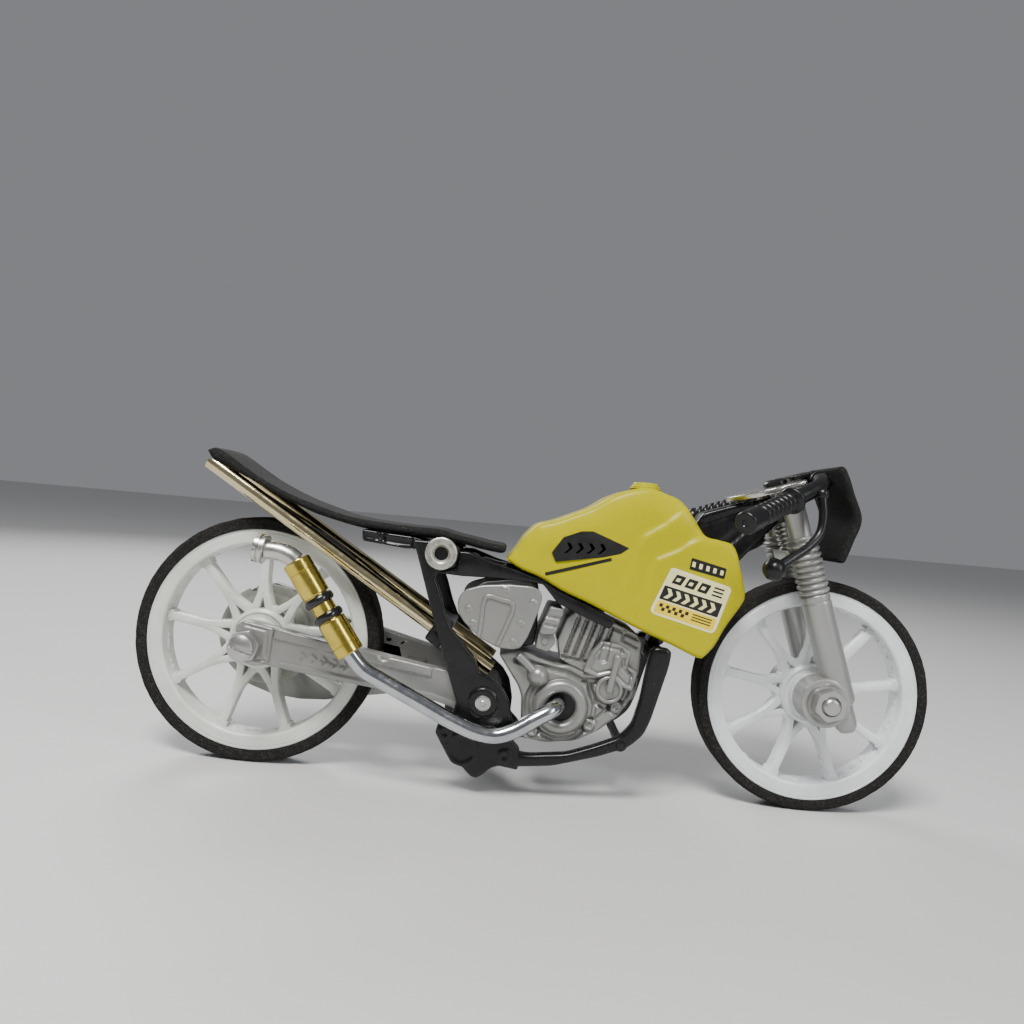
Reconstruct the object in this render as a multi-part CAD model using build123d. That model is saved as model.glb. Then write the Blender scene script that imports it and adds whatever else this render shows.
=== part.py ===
from build123d import *
import math
import os

# Small moulded drag motorcycle, millimetres. +X forward, +Y to the rider's left, +Z up, ground at z = 0.
os.makedirs("parts", exist_ok=True)

# ---- driving dimensions ----
REAR_X, REAR_R = -54.5, 24.25
FRONT_X, FRONT_R = 55.85, 22.9
TYRE_HALF = 3.2
REAR_RIM_R, REAR_RIM_IN = 21.9, 18.9
FRONT_RIM_R, FRONT_RIM_IN = 20.8, 17.7
RIM_HALF = 2.95
SPOKES = 9
AXLE_R, BORE_R = 1.5, 1.56
PIVOT_X, PIVOT_Z, PIVOT_R = -8.8, 17.6, 1.5
PLATE_IN, PLATE_OUT = 8.9, 10.6
ARM_IN, ARM_OUT = 6.2, 8.6
AX_X, AX_Z, RAKE = 52.83, 43.19, 18.55
LEG_Y, LEG_R, BELLOWS_R = 7.0, 2.75, 2.95
STEM_R, HEAD_BORE_R, HEAD_R = 1.5, 1.56, 3.3
ROD_Y, ROD_R, ROD_IN = 6.5, 1.4, 1.0
TANK_WALL = 1.2
TANK_Y = (9.0, 9.6, 10.2)
PIPE_R, SLEEVE_R, NECK_R, RING_R = 1.5, 2.6, 2.1, 2.8
NUT_AF = 5.5

DX, DZ = math.sin(math.radians(RAKE)), -math.cos(math.radians(RAKE))


def solid(s):
    return Part() + s


def prism(pts, y0, y1):
    """A flat outline in x and z, carried from y0 to y1."""
    face = Face(Wire.make_polygon([Vector(x, y0, z) for x, z in pts], close=True))
    return solid(Solid.extrude(face, Vector(0, y1 - y0, 0)))


def cyl(x, z, r, y0, y1):
    return solid(Solid.make_cylinder(r, y1 - y0, Plane(origin=(x, y0, z), x_dir=(1, 0, 0), z_dir=(0, 1, 0))))


def hexa(x, z, af, y0, y1, turn=0.0):
    r = af / math.sqrt(3)
    return prism([(x + r * math.cos(math.radians(turn + 60 * k)), z + r * math.sin(math.radians(turn + 60 * k))) for k in range(6)], y0, y1)


def rod(a, b, r):
    a, b = Vector(*a), Vector(*b)
    return solid(Solid.make_cylinder(r, (b - a).length, Plane(origin=a, z_dir=(b - a).normalized())))


def ball(p, r):
    return solid(Solid.make_sphere(r, Plane(origin=p, x_dir=(1, 0, 0), z_dir=(0, 1, 0))))


def tube(points, r):
    out = Part()
    for a, b in zip(points, points[1:]):
        out = out + rod(a, b, r)
    for p in points[1:-1]:
        out = out + ball(p, r)
    return out


def flip(p):
    return mirror(p, about=Plane.XZ)


def on_axis(s, a=0.0, y=0.0):
    """A point s below the reference along the steering axis and a ahead of it."""
    return (AX_X + DX * s - DZ * a, y, AX_Z + DZ * s + DX * a)


def spin(profile, s_top, y=0.0):
    """A turned piece on a line parallel to the steering axis: profile of (radius, distance below s_top)."""
    o = on_axis(s_top, 0, y)
    pl = Plane(origin=o, x_dir=(0, 1, 0), z_dir=(DX, 0, DZ))
    pts = [pl.from_local_coords(Vector(r, 0, d)) for r, d in profile]
    face = Face(Wire.make_polygon(pts, close=True))
    return solid(Solid.revolve(face, 360, Axis(o, (DX, 0, DZ))))


def save(p, name):
    if p.volume < 0:
        p = Part() + p
    export_step(p, "parts/" + name + ".step")


# ---- wheels ----
def wheel(cx, cz, r_out, r_in, r_fork, r_hub, phase, boss):
    rim = cyl(cx, cz, r_out, -RIM_HALF, RIM_HALF) - cyl(cx, cz, r_in, -RIM_HALF - 1, RIM_HALF + 1)
    for k in range(SPOKES):
        a = math.radians(phase + 40 * k)
        for (ra, fa), (rb, fb), w in (
            ((r_in + 0.6, 0), (r_fork - 0.3, 0), 0.7),
            ((r_in + 0.4, 0), (r_in - 1.0, 0), 1.15),
            ((r_fork, 0), (r_hub - 0.4, 17.0), 0.65),
            ((r_fork, 0), (r_hub - 0.4, -17.0), 0.65),
        ):
            p = (cx + ra * math.cos(a + math.radians(fa)), cz + ra * math.sin(a + math.radians(fa)))
            q = (cx + rb * math.cos(a + math.radians(fb)), cz + rb * math.sin(a + math.radians(fb)))
            t = math.atan2(q[1] - p[1], q[0] - p[0])
            n = (-math.sin(t) * w, math.cos(t) * w)
            rim = rim + prism([(p[0] + n[0], p[1] + n[1]), (q[0] + n[0], q[1] + n[1]), (q[0] - n[0], q[1] - n[1]), (p[0] - n[0], p[1] - n[1])], -1.5, 1.5)
    hub = cyl(cx, cz, r_hub, -2.2, 2.2) + cyl(cx, cz, boss[0], -boss[1], boss[1])
    rim = rim + hub - cyl(cx, cz, BORE_R, -20, 20)
    return rim


def tyre(cx, cz, r_out, r_in):
    h, e = TYRE_HALF, 0.6
    prof = [(r_in, -h), (r_out - e, -h), (r_out, -h + e), (r_out, h - e), (r_out - e, h), (r_in, h)]
    face = Face(Wire.make_polygon([Vector(cx, y, cz + r) for r, y in prof], close=True))
    return solid(Solid.revolve(face, 360, Axis((cx, 0, cz), (0, 1, 0))))


save(wheel(REAR_X, REAR_R, REAR_RIM_R, REAR_RIM_IN, 10.7, 5.9, 10.5, (4.0, 5.9)), "rear_rim")
save(tyre(REAR_X, REAR_R, REAR_R, REAR_RIM_R), "rear_tyre")
save(wheel(FRONT_X, FRONT_R, FRONT_RIM_R, FRONT_RIM_IN, 9.9, 5.9, 10.0, (4.6, 4.0)), "front_rim")
save(tyre(FRONT_X, FRONT_R, FRONT_R, FRONT_RIM_R), "front_tyre")
# toothed disc beside the rear wheel on its left
disc = cyl(REAR_X, REAR_R, 10.2, 4.0, 5.2) - cyl(REAR_X, REAR_R, 4.0, 3, 6)
save(disc, "rear_disc")

# ---- swinging arm ----
ARM = [(-57.0, 27.7), (-55.3, 28.9), (-49.8, 28.0), (-44.9, 27.1), (-40.8, 26.4), (-32.0, 25.2), (-25.3, 24.1), (-16.0, 22.6), (-10.5, 20.8), (-8.8, 20.9), (-6.5, 19.9), (-5.5, 17.6), (-6.5, 15.2), (-8.8, 14.3), (-13.0, 15.2), (-17.9, 16.6), (-37.4, 18.9), (-44.3, 19.7), (-51.2, 20.7), (-56.3, 21.0), (-57.3, 22.7)]
arm_r = prism(ARM, -ARM_OUT, -ARM_IN)
# raised upper rib and rear block on the outer face
arm_r = arm_r + prism([(-49.3, 28.0), (-40.3, 26.3), (-32.0, 25.0), (-19.0, 23.0), (-19.0, 21.2), (-32.0, 23.1), (-40.2, 24.5), (-49.6, 25.8)], -ARM_OUT - 0.25, -ARM_OUT + 0.2)
arm_r = arm_r + prism([(-56.8, 27.6), (-55.3, 28.8), (-49.6, 27.9), (-50.0, 21.4), (-51.2, 20.9), (-56.2, 21.2), (-57.1, 22.7)], -ARM_OUT - 0.4, -ARM_OUT + 0.2)
for x, z, r in ((PIVOT_X, PIVOT_Z, PIVOT_R + 0.06), (REAR_X, REAR_R, AXLE_R)):
    arm_r = arm_r - cyl(x, z, r, -20, 0)
arm_r = arm_r - cyl(-28.3, 24.6, 1.3, -20, -ARM_OUT + 0.0)
save(arm_r, "swingarm_right")
CASE = [(-62.5, 29.0), (-59.0, 33.2), (-54.5, 34.7), (-50.0, 33.4), (-46.0, 30.6), (-40.8, 28.9), (-32.0, 27.3), (-25.3, 25.6), (-16.0, 23.4), (-10.5, 20.9), (-8.8, 20.9), (-6.5, 19.9), (-5.5, 17.6), (-6.5, 15.2), (-8.8, 14.3), (-13.0, 14.6), (-20.0, 14.9), (-30.0, 13.4), (-38.0, 12.0), (-42.0, 11.1), (-47.5, 10.8), (-53.5, 11.4), (-59.0, 13.2), (-63.0, 17.5), (-64.3, 23.5)]
arm_l = prism(CASE, ARM_IN, ARM_OUT)
for x, z, r in ((PIVOT_X, PIVOT_Z, PIVOT_R + 0.06), (REAR_X, REAR_R, AXLE_R)):
    arm_l = arm_l - cyl(x, z, r, 0, 20)
arm_l = arm_l - prism([(-31.5, 25.3), (-27.5, 24.7), (-27.5, 23.8), (-31.5, 24.4)], 0, 20)
# bar across to the other side ahead of the tyre
arm_l = arm_l + prism([(-25.5, 22.2), (-21.5, 21.6), (-21.5, 17.6), (-25.5, 18.0)], -ARM_IN, ARM_IN)
save(arm_l, "swingarm_left")
save(hexa(REAR_X, REAR_R, NUT_AF, -11.2, -ARM_OUT - 0.4, 12) - cyl(REAR_X, REAR_R, AXLE_R, -20, 0), "rear_nut_right")
dome = cyl(REAR_X, REAR_R, 2.4, -12.6, -11.2) + solid(Solid.make_cone(1.5, 2.4, 0.9, Plane(origin=(REAR_X, -13.5, REAR_R), x_dir=(1, 0, 0), z_dir=(0, 1, 0))))
dome = dome - solid(Solid.make_box(6, 0.6, 0.6, Plane(origin=(REAR_X - 3, -13.6, REAR_R - 0.3))))
save(dome + cyl(REAR_X, REAR_R, AXLE_R, -11.2, 11.2), "rear_axle")
save(hexa(REAR_X, REAR_R, NUT_AF, ARM_OUT, 11.2, 12) - cyl(REAR_X, REAR_R, AXLE_R, 0, 20), "rear_nut_left")

# ---- frame ----
PLATE = [(-24.6, 47.0), (-23.6, 44.4), (-19.8, 33.3), (-15.3, 21.1), (-13.8, 17.2), (-14.6, 14.6), (-17.0, 12.8), (-17.3, 11.2), (-16.4, 9.8), (-15.0, 7.6), (-13.7, 5.8), (-11.7, 5.2), (-10.0, 3.6), (-8.9, 3.3), (-7.8, 4.0), (-6.4, 5.4), (-4.9, 6.0), (-1.9, 5.5), (-1.9, 9.6), (-3.1, 11.4), (-3.0, 14.5), (-3.9, 18.3), (-5.5, 20.6), (-7.7, 22.3), (-9.9, 23.3), (-11.2, 26.0), (-13.1, 27.9), (-16.1, 31.2), (-17.5, 34.2), (-18.9, 38.2), (-20.0, 40.6), (-19.0, 41.4), (-16.2, 42.5), (-15.6, 46.2), (-17.0, 47.0)]
EYE = (-19.0, 44.9)
plate = prism(PLATE, -PLATE_OUT, -PLATE_IN)
plate = plate + cyl(PIVOT_X, PIVOT_Z, 2.8, -11.0, -PLATE_IN)
plate = plate - cyl(PIVOT_X, PIVOT_Z, PIVOT_R, -20, 0) - cyl(EYE[0], EYE[1], 2.4, -20, 0) - cyl(-12.0, 8.6, 2.3, -20, -9.6)
plate = plate + cyl(-15.4, 11.4, 1.3, -10.9, -10.5) + cyl(-3.9, 8.0, 1.3, -10.9, -10.5)
RAIL = [(-19.0, 41.0), (-15.0, 40.8), (-8.0, 41.0), (0.6, 40.6), (3.6, 37.3), (9.0, 35.0), (14.0, 33.2), (15.0, 34.9), (10.2, 37.0), (4.0, 39.4), (0.0, 41.4), (-4.3, 42.8), (-9.0, 43.9), (-13.9, 45.5), (-16.2, 45.5), (-16.2, 42.5), (-19.0, 41.5)]
plate = plate + prism(RAIL, -PLATE_IN, -6.7)
save(plate, "frame_plate_right")
save(flip(plate) + cyl(-8.9, 7.6, 1.6, -PLATE_IN, PLATE_IN) + cyl(-13.4, 43.2, 1.5, -6.7, 6.7), "frame_plate_left")
bush = cyl(EYE[0], EYE[1], 3.05, -12.0, -PLATE_OUT) + cyl(EYE[0], EYE[1], 2.4, -PLATE_OUT, -PLATE_IN) - cyl(EYE[0], EYE[1], 1.3, -20, 0)
save(bush, "eye_bush_right")
save(flip(bush), "eye_bush_left")
pin = cyl(PIVOT_X, PIVOT_Z, PIVOT_R, -11.4, 11.4)
save(pin, "pivot_pin")
CRADLE = [(25.9, 30.6), (25.6, 27.4), (24.1, 21.5), (23.0, 17.0), (21.8, 14.0), (19.2, 11.5), (13.6, 9.3), (5.1, 6.8), (-1.9, 5.5), (-1.9, 9.6), (0.1, 8.5), (7.8, 9.4), (13.1, 11.4), (17.4, 13.3), (19.5, 15.9), (20.7, 21.0), (21.5, 27.8), (22.2, 30.9)]
cradle = prism(CRADLE, -PLATE_OUT, -8.2) - cyl(17.65, 11.9, 0.9, -20, 0)
save(cradle, "cradle_right")
save(flip(cradle) + prism([(21.9, 30.2), (25.3, 30.0), (25.0, 27.6), (21.7, 27.8)], -8.2, 8.2), "cradle_left")
save(cyl(17.65, 11.9, 0.9, -10.9, 10.9), "cradle_bolt")
BONE = [(-11.6, 41.2), (-4.0, 41.0), (2.0, 40.6), (8.0, 39.6), (20.0, 41.5), (29.0, 44.6), (34.0, 45.2), (38.9, 47.6), (43.0, 52.6), (46.3, 56.2), (46.3, 60.8), (44.4, 61.0), (38.7, 59.6), (31.4, 57.0), (28.6, 52.6), (14.0, 48.8), (2.0, 46.4), (-2.6, 43.3), (-8.0, 43.6), (-11.6, 44.4)]
bone = prism(BONE, -2.8, 2.8)
head = spin([(0, 0), (HEAD_R, 0), (HEAD_R, 5.2), (0, 5.2)], -19.6)
bore = spin([(0, 0), (HEAD_BORE_R, 0), (HEAD_BORE_R, 12), (0, 12)], -22.0)
clear_low = spin([(0, 0), (4.6, 0), (4.6, 9), (0, 9)], -14.4)
clear_top = spin([(0, 0), (6.5, 0), (6.5, 9), (0, 9)], -28.6)
bone = (bone - clear_low - clear_top + head) - bore
bone = bone + prism([(22.6, 30.25), (25.3, 30.0), (28.6, 35.4), (34.0, 46.0), (29.0, 45.5), (25.4, 37.6)], -2.8, 2.8)
save(bone, "backbone")

# ---- seat and its two rods ----
SEAT = [(-65.7, 60.9), (-64.2, 61.3), (-58.3, 58.0), (-55.2, 56.2), (-49.0, 53.5), (-42.9, 51.65), (-38.4, 50.5), (-30.9, 49.75), (-25.0, 49.5), (-20.0, 49.4), (-17.3, 48.8), (-13.6, 48.2), (-10.0, 47.6), (-6.9, 47.3), (-7.1, 45.6), (-11.3, 46.1), (-16.4, 47.0), (-24.8, 47.6), (-30.8, 47.9), (-35.25, 48.3), (-39.8, 49.2), (-44.3, 50.3), (-48.9, 52.0), (-55.05, 54.7), (-61.2, 57.4), (-64.6, 58.9), (-65.6, 60.1)]
save(prism(SEAT, -7.6, 7.6), "seat_pad")
above = prism([(-65.7, 70.0), (-66.9, 59.4), (-64.6, 58.9), (-61.2, 57.4), (-55.05, 54.7), (-48.9, 52.0), (-44.3, 50.3), (-39.8, 49.2), (-20.0, 70.0)], -12, 12)
TRAY = [(-34.6, 48.1), (-34.4, 45.9), (-26.3, 45.1), (-24.2, 45.2), (-21.9, 45.8), (-22.4, 47.3), (-24.8, 47.5), (-30.8, 47.8)]
save(prism(TRAY, -8.8, 8.8) - prism([(-24.7, 50), (-24.7, 44), (-10, 44), (-10, 50)], -20, -PLATE_IN) - cyl(EYE[0], EYE[1], 3.1, -20, 20), "seat_tray")
R0, R1 = (-65.4, 58.53), (-7.9, 23.38)
rod_s = rod((R0[0], -ROD_Y, R0[1]), (R1[0], -ROD_Y, R1[1]), ROD_R) - rod((R0[0], -ROD_Y, R0[1]), (R1[0], -ROD_Y, R1[1]), ROD_IN) - above
save(rod_s, "seat_rod_right")
save(flip(rod_s), "seat_rod_left")
ux, uz = 0.8532, -0.5216
bx, bz = -18.3, 29.74
BRIDGE = [(bx + ux * a - uz * b, bz + uz * a + ux * b) for a, b in ((-1.7, -2.6), (1.7, -2.6), (1.7, 2.2), (-1.7, 2.2))]
bridge = prism(BRIDGE, -PLATE_IN, PLATE_IN)
for s in (-1, 1):
    bridge = bridge - rod((R0[0], s * ROD_Y, R0[1]), (R1[0], s * ROD_Y, R1[1]), ROD_R)
save(bridge, "rod_bridge")

# ---- tank: hollow moulding, open below, slotted at the front for the neck ----
TANK = [(-6.7, 44.6), (-5.0, 47.1), (-3.9, 49.1), (-2.5, 50.8), (-1.2, 51.9), (2.3, 53.1), (5.4, 54.5), (8.8, 56.1), (12.4, 58.5), (16.0, 60.1), (19.5, 60.7), (22.9, 59.8), (25.0, 59.1), (26.2, 58.3), (27.8, 56.3), (29.3, 54.2), (30.7, 52.4), (33.2, 51.9), (35.6, 51.3), (36.7, 49.8), (37.5, 47.3), (38.3, 44.6), (38.9, 41.6), (38.2, 40.0), (36.8, 37.7), (35.3, 35.1), (33.9, 32.1), (32.7, 30.4), (31.6, 29.3), (30.4, 29.5), (25.9, 31.3), (20.3, 33.4), (14.2, 35.8), (10.2, 37.5), (4.1, 39.8), (0.1, 41.8), (-4.1, 43.2)]
STEP1 = [(26.6, 57.5), (22.6, 54.0), (18.7, 51.4), (17.7, 49.1), (16.0, 43.0), (14.1, 36.4), (14.2, 30.0), (42.0, 24.0), (42.0, 50.0), (30.7, 60.0)]
STEP2 = [(30.3, 52.6), (27.6, 51.0), (25.6, 49.4), (21.4, 47.3), (20.2, 44.1), (18.8, 38.7), (18.1, 34.2), (18.1, 30.0), (42.0, 24.0), (42.0, 58.0), (31.0, 58.0)]
full = prism(TANK, -12, 12)
tank = prism(TANK, -TANK_Y[0], TANK_Y[0])
tank = tank + (prism(STEP1, -TANK_Y[1], TANK_Y[1]) & full) + (prism(STEP2, -TANK_Y[2], TANK_Y[2]) & full)
INNER = [(-4.6, 44.7), (-3.8, 46.6), (-2.8, 48.5), (-1.7, 49.9), (-0.6, 50.9), (2.8, 51.9), (6.0, 53.4), (9.4, 55.0), (13.0, 57.4), (16.3, 58.9), (19.5, 59.4), (22.5, 58.6), (24.5, 57.9), (25.3, 57.4), (26.7, 55.6), (28.3, 53.4), (30.1, 51.3), (33.0, 50.6), (34.9, 50.2), (35.6, 49.2), (36.3, 46.9), (37.1, 44.3), (37.6, 41.8), (37.1, 40.4), (35.7, 38.2), (34.2, 35.6), (32.8, 32.6), (31.8, 31.3), (31.0, 26.0), (25.0, 28.0), (14.0, 32.5), (4.0, 36.5), (-2.0, 40.5), (-4.4, 42.0)]
tank = tank - prism(INNER, -TANK_Y[0] + TANK_WALL, TANK_Y[0] - TANK_WALL)
tank = tank - prism([(26.5, 44.0), (28.0, 51.5), (28.1, 52.7), (31.0, 57.4), (31.4, 58.5), (42.0, 58.5), (42.0, 44.0)], -3.2, 3.2)
CAP = (19.8, 0, 60.0)
tank = tank + solid(Solid.make_cylinder(2.9, 2.0, Plane(origin=CAP, z_dir=(0, 0, 1))))
save(tank, "tank_shell")
PANEL = [(24.3, 45.9), (24.9, 46.0), (35.6, 43.3), (35.9, 42.7), (33.6, 34.9), (32.9, 34.3), (21.5, 37.1), (21.0, 37.8)]
LABEL = [(28.0, 48.2), (34.7, 46.7), (34.4, 44.7), (27.7, 46.0)]
SHARD = [(1.7, 46.8), (3.7, 49.9), (7.0, 51.3), (9.2, 51.5), (16.3, 48.9), (14.8, 47.7), (11.8, 46.8), (2.6, 45.1)]
LINE = [(0.7, 42.9), (13.1, 46.8), (13.2, 46.2), (0.9, 42.3)]
side = prism(PANEL, -TANK_Y[2] - 0.12, -TANK_Y[2]) + prism(LABEL, -TANK_Y[2] - 0.12, -TANK_Y[2])
save(side, "sticker_side_right")
save(flip(side), "sticker_side_left")
save(prism(SHARD, -TANK_Y[0] - 0.12, -TANK_Y[0]) + prism(LINE, -TANK_Y[0] - 0.12, -TANK_Y[0]), "sticker_graphic_right")

# ---- engine ----
CASE_E = [(-6.8, 26.6), (-2.4, 20.6), (-1.3, 17.7), (-1.2, 14.2), (-0.9, 10.7), (3.8, 10.25), (9.3, 11.0), (13.5, 13.2), (17.6, 16.8), (19.1, 19.5), (20.2, 20.5), (20.5, 24.4), (9.6, 24.4), (7.1, 25.4), (4.8, 25.3), (1.2, 26.2), (-1.6, 27.4), (-4.0, 27.2)]
case_r = prism(CASE_E, -7.4, 0)
save(case_r, "crankcase_right")
save(flip(case_r) + (cyl(6.0, 17.6, 5.25, 7.4, 8.6) - cyl(6.0, 17.6, 2.65, 8.0, 20)), "crankcase_left")


def outside(p, y):
    """Only what lies further right than -y."""
    return p & solid(Solid.make_box(200, 50, 200, Plane(origin=(-100, -y - 50, -50))))


ring = solid(Solid.make_torus(4.0, 1.25, Plane(origin=(6.0, -8.2, 17.6), z_dir=(0, 1, 0)))) + (cyl(6.0, 17.6, 5.0, -8.2, -7.4) - cyl(6.0, 17.6, 3.0, -20, 0))
ring = outside(ring, 7.4)
save(ring, "clutch_ring")
lump = outside(ball((1.2, -7.9, 23.0), 2.1), 7.4) - cyl(6.0, 17.6, 5.3, -12, 0)
lump = lump + (rod((-3.0, -8.3, 26.7), (0.6, -8.3, 23.6), 0.85))
save(lump, "ball_stalk")
FINS = [(9.6, 24.4), (20.5, 24.4), (20.9, 30.8), (19.5, 32.6), (16.0, 34.0), (12.4, 35.4), (8.2, 36.4), (5.9, 34.6), (4.4, 30.0), (5.2, 26.4), (7.1, 25.4)]
block = prism(FINS, -6.6, 6.6)
for k in range(4):
    x0 = 6.6 + 1.35 * k
    block = block - prism([(x0 + 0.95, 33.7 - 0.3 * k), (x0 + 1.5, 33.5 - 0.3 * k), (x0 - 0.4, 27.9 - 0.3 * k), (x0 - 0.95, 28.1 - 0.3 * k)], -8, -5.9)
save(block, "cylinder_block")
HEADP = [(12.7, 30.7), (16.3, 30.3), (18.6, 29.1), (18.0, 26.4), (20.2, 25.3), (19.4, 21.6), (17.4, 22.2), (14.8, 24.4), (12.5, 23.7), (9.6, 24.7), (10.9, 28.4)]
headp = prism(HEADP, -8.4, -7.4) + prism([(12.7, 30.7), (16.3, 30.3), (18.6, 29.1), (18.0, 26.4), (20.2, 25.3), (20.1, 24.45), (9.7, 24.45), (10.9, 28.4)], -7.4, -6.6)
headp = headp - prism([(13.2, 30.9), (14.6, 30.7), (14.0, 27.0), (13.2, 26.6), (12.4, 27.2)], -9, -7.7)
headp = headp - cyl(14.95, 21.6, 2.7, -12, 0)
knob = cyl(14.95, 21.6, 2.65, -8.6, -7.4) - cyl(14.95, 21.6, 1.9, -9, -8.0)
LEVER_K = [(14.1, 21.4), (14.9, 20.7), (15.8, 21.3), (16.6, 27.6), (16.2, 28.5), (15.6, 28.4)]
save(headp + knob + prism(LEVER_K, -9.3, -8.4), "head_plate")
CARB1 = [(2.4, 36.5), (5.0, 36.2), (4.9, 34.9), (3.6, 31.2), (1.3, 31.0), (0.6, 31.4)]
carb = prism(CARB1, -8.6, 4.0) + prism([(0.6, 31.4), (3.6, 31.2), (4.0, 29.4), (2.6, 27.6), (0.2, 28.2)], -7.6, 4.0)
save(carb - prism(FINS, -6.6, 6.6) - case_r, "carburettor")
LEAF = [(-15.3, 35.9), (-15.0, 37.2), (-14.0, 38.4), (-11.0, 39.5), (-5.8, 40.1), (-1.6, 40.1), (0.2, 39.5), (0.7, 38.1), (0.2, 35.6), (-1.4, 30.5), (-2.6, 28.3), (-4.0, 27.8), (-6.8, 27.9), (-10.4, 29.4), (-13.9, 32.3), (-15.1, 34.2)]
leaf = prism(LEAF, -9.5, -8.6)
box = prism([(-13.6, 36.6), (-11.0, 38.6), (-5.8, 39.4), (-1.6, 39.4), (-0.2, 38.6), (-0.9, 35.0), (-2.6, 30.4), (-4.4, 29.2), (-6.8, 29.0), (-10.0, 30.4), (-13.0, 33.0)], -8.6, 0)
# boot that reaches from the box to the carburettor
box = box + prism([(-3.0, 38.0), (0.2, 37.2), (0.35, 31.8), (0.0, 28.6), (-2.0, 27.9), (-3.4, 29.4)], -5.6, 0)
for s in (-1, 1):
    box = box - rod((R0[0], s * ROD_Y, R0[1]), (R1[0], s * ROD_Y, R1[1]), ROD_R + 0.2)
save(box + flip(box), "air_box")
save(flip(leaf), "air_cover_left")
LOOP = [(-11.0, 29.9), (-10.7, 36.7), (-9.5, 38.0), (-4.8, 36.9), (-4.4, 35.6), (-6.9, 28.2), (-7.6, 28.4), (-5.1, 35.6), (-5.4, 36.3), (-9.3, 37.2), (-10.0, 36.5), (-10.3, 29.6)]
save(leaf + prism(LOOP, -9.9, -9.5) + cyl(-13.0, 34.8, 0.7, -9.8, -9.5) + cyl(-3.0, 32.8, 0.7, -9.8, -9.5), "air_cover_right")

# ---- exhaust ----
PIPE = [(5.5, -7.4, 18.2), (5.3, -9.4, 18.1), (4.0, -11.2, 17.4), (1.4, -12.2, 16.0), (-2.8, -13.0, 13.5), (-6.0, -13.4, 12.5), (-9.5, -13.8, 12.9), (-13.7, -14.2, 14.5), (-20.8, -14.5, 17.9), (-27.9, -14.5, 21.2), (-30.9, -14.5, 22.7)]
SX, SZ = -33.53, 25.37
EX, EZ = -0.5826, 0.8127


def sl(d):
    return (SX + EX * d, -14.5, SZ + EZ * d)


def bent(points, start, end, r, tail=None):
    """A round tube along a smooth line, with an optional straight tail."""
    line = Spline(*[Vector(*p) for p in points], tangents=[Vector(*start), Vector(*end)])
    path = Wire([line.edge()] if tail is None else [line.edge(), Edge.make_line(Vector(*points[-1]), Vector(*tail))])
    ring_face = Face(Wire.make_circle(r, Plane(origin=Vector(*points[0]), z_dir=Vector(*start))))
    return solid(Solid.sweep(ring_face, path))


pipe = bent(PIPE + [sl(0)], (0, -1, 0), (EX, 0, EZ), PIPE_R, sl(19.7))
save(pipe, "exhaust_pipe")
# the lower sleeve has a slimmer neck that carries both rings
neck = rod(sl(0.2), sl(7.2), SLEEVE_R) + rod(sl(7.0), sl(12.4), NECK_R)
save(neck - rod(sl(-1), sl(14), PIPE_R), "exhaust_sleeve_lower")
for nm, a, b in (("exhaust_ring_lower", 7.3, 8.9), ("exhaust_ring_upper", 10.6, 12.2)):
    save(rod(sl(a), sl(b), RING_R) - rod(sl(a - 1), sl(b + 1), NECK_R), nm)
save(rod(sl(12.4), sl(19.7), SLEEVE_R) - rod(sl(11), sl(21), PIPE_R), "exhaust_sleeve_upper")
elbow = bent([sl(19.7), (-46.6, -14.5, 42.45), (-50.6, -14.5, 43.0)], (EX, 0, EZ), (-0.985, 0, 0.17), 1.75)
save(elbow, "exhaust_elbow")
collar = rod((-50.62, -14.5, 43.01), (-52.6, -14.5, 43.35), 2.7) - rod((-50.0, -14.5, 42.9), (-53.4, -14.5, 43.5), 1.1)
save(collar, "exhaust_collar")

# ---- fork and front end ----
leg = spin([(0, -0.1), (LEG_R, -0.1), (LEG_R, 21.4), (2.05, 22.0), (2.05, 26.0), (1.3, 27.2), (0, 27.4)], 0, -LEG_Y)
leg = leg + cyl(FRONT_X, FRONT_R, 4.7, -9.8, -4.4) - cyl(FRONT_X, FRONT_R, AXLE_R, -20, 0)
bel = [(0, 0)]
n, pitch = 9, 1.16
for k in range(n):
    bel += [(2.45, pitch * k + 0.02), (BELLOWS_R, pitch * k + 0.34), (BELLOWS_R, pitch * k + 0.8), (2.45, pitch * k + 1.14)]
bel += [(0, pitch * n)]
bellows = spin(bel, -pitch * n, -LEG_Y)
top_tube = spin([(0, 0), (2.1, 0), (2.1, 10.2), (0, 10.2)], -20.6, -LEG_Y)
leg = leg + bellows + top_tube
save(leg, "fork_leg_right")
save(flip(leg), "fork_leg_left")
axle = cyl(FRONT_X, FRONT_R, AXLE_R, -12.9, 12.9)
save(axle, "front_axle")
for s, nm in ((-1, "right"), (1, "left")):
    a, b = (-12.1, -9.8) if s < 0 else (9.8, 12.1)
    save(hexa(FRONT_X, FRONT_R, NUT_AF, a, b, 20) - cyl(FRONT_X, FRONT_R, AXLE_R, -20, 20), "front_nut_" + nm)


def slab(pts, s0, s1):
    """An outline of (ahead, y) across the steering axis, carried from s0 to s1."""
    face = Face(Wire.make_polygon([Vector(*on_axis(s0, a, y)) for a, y in pts], close=True))
    return solid(Solid.extrude(face, Vector(DX * (s1 - s0), 0, DZ * (s1 - s0))))


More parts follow.
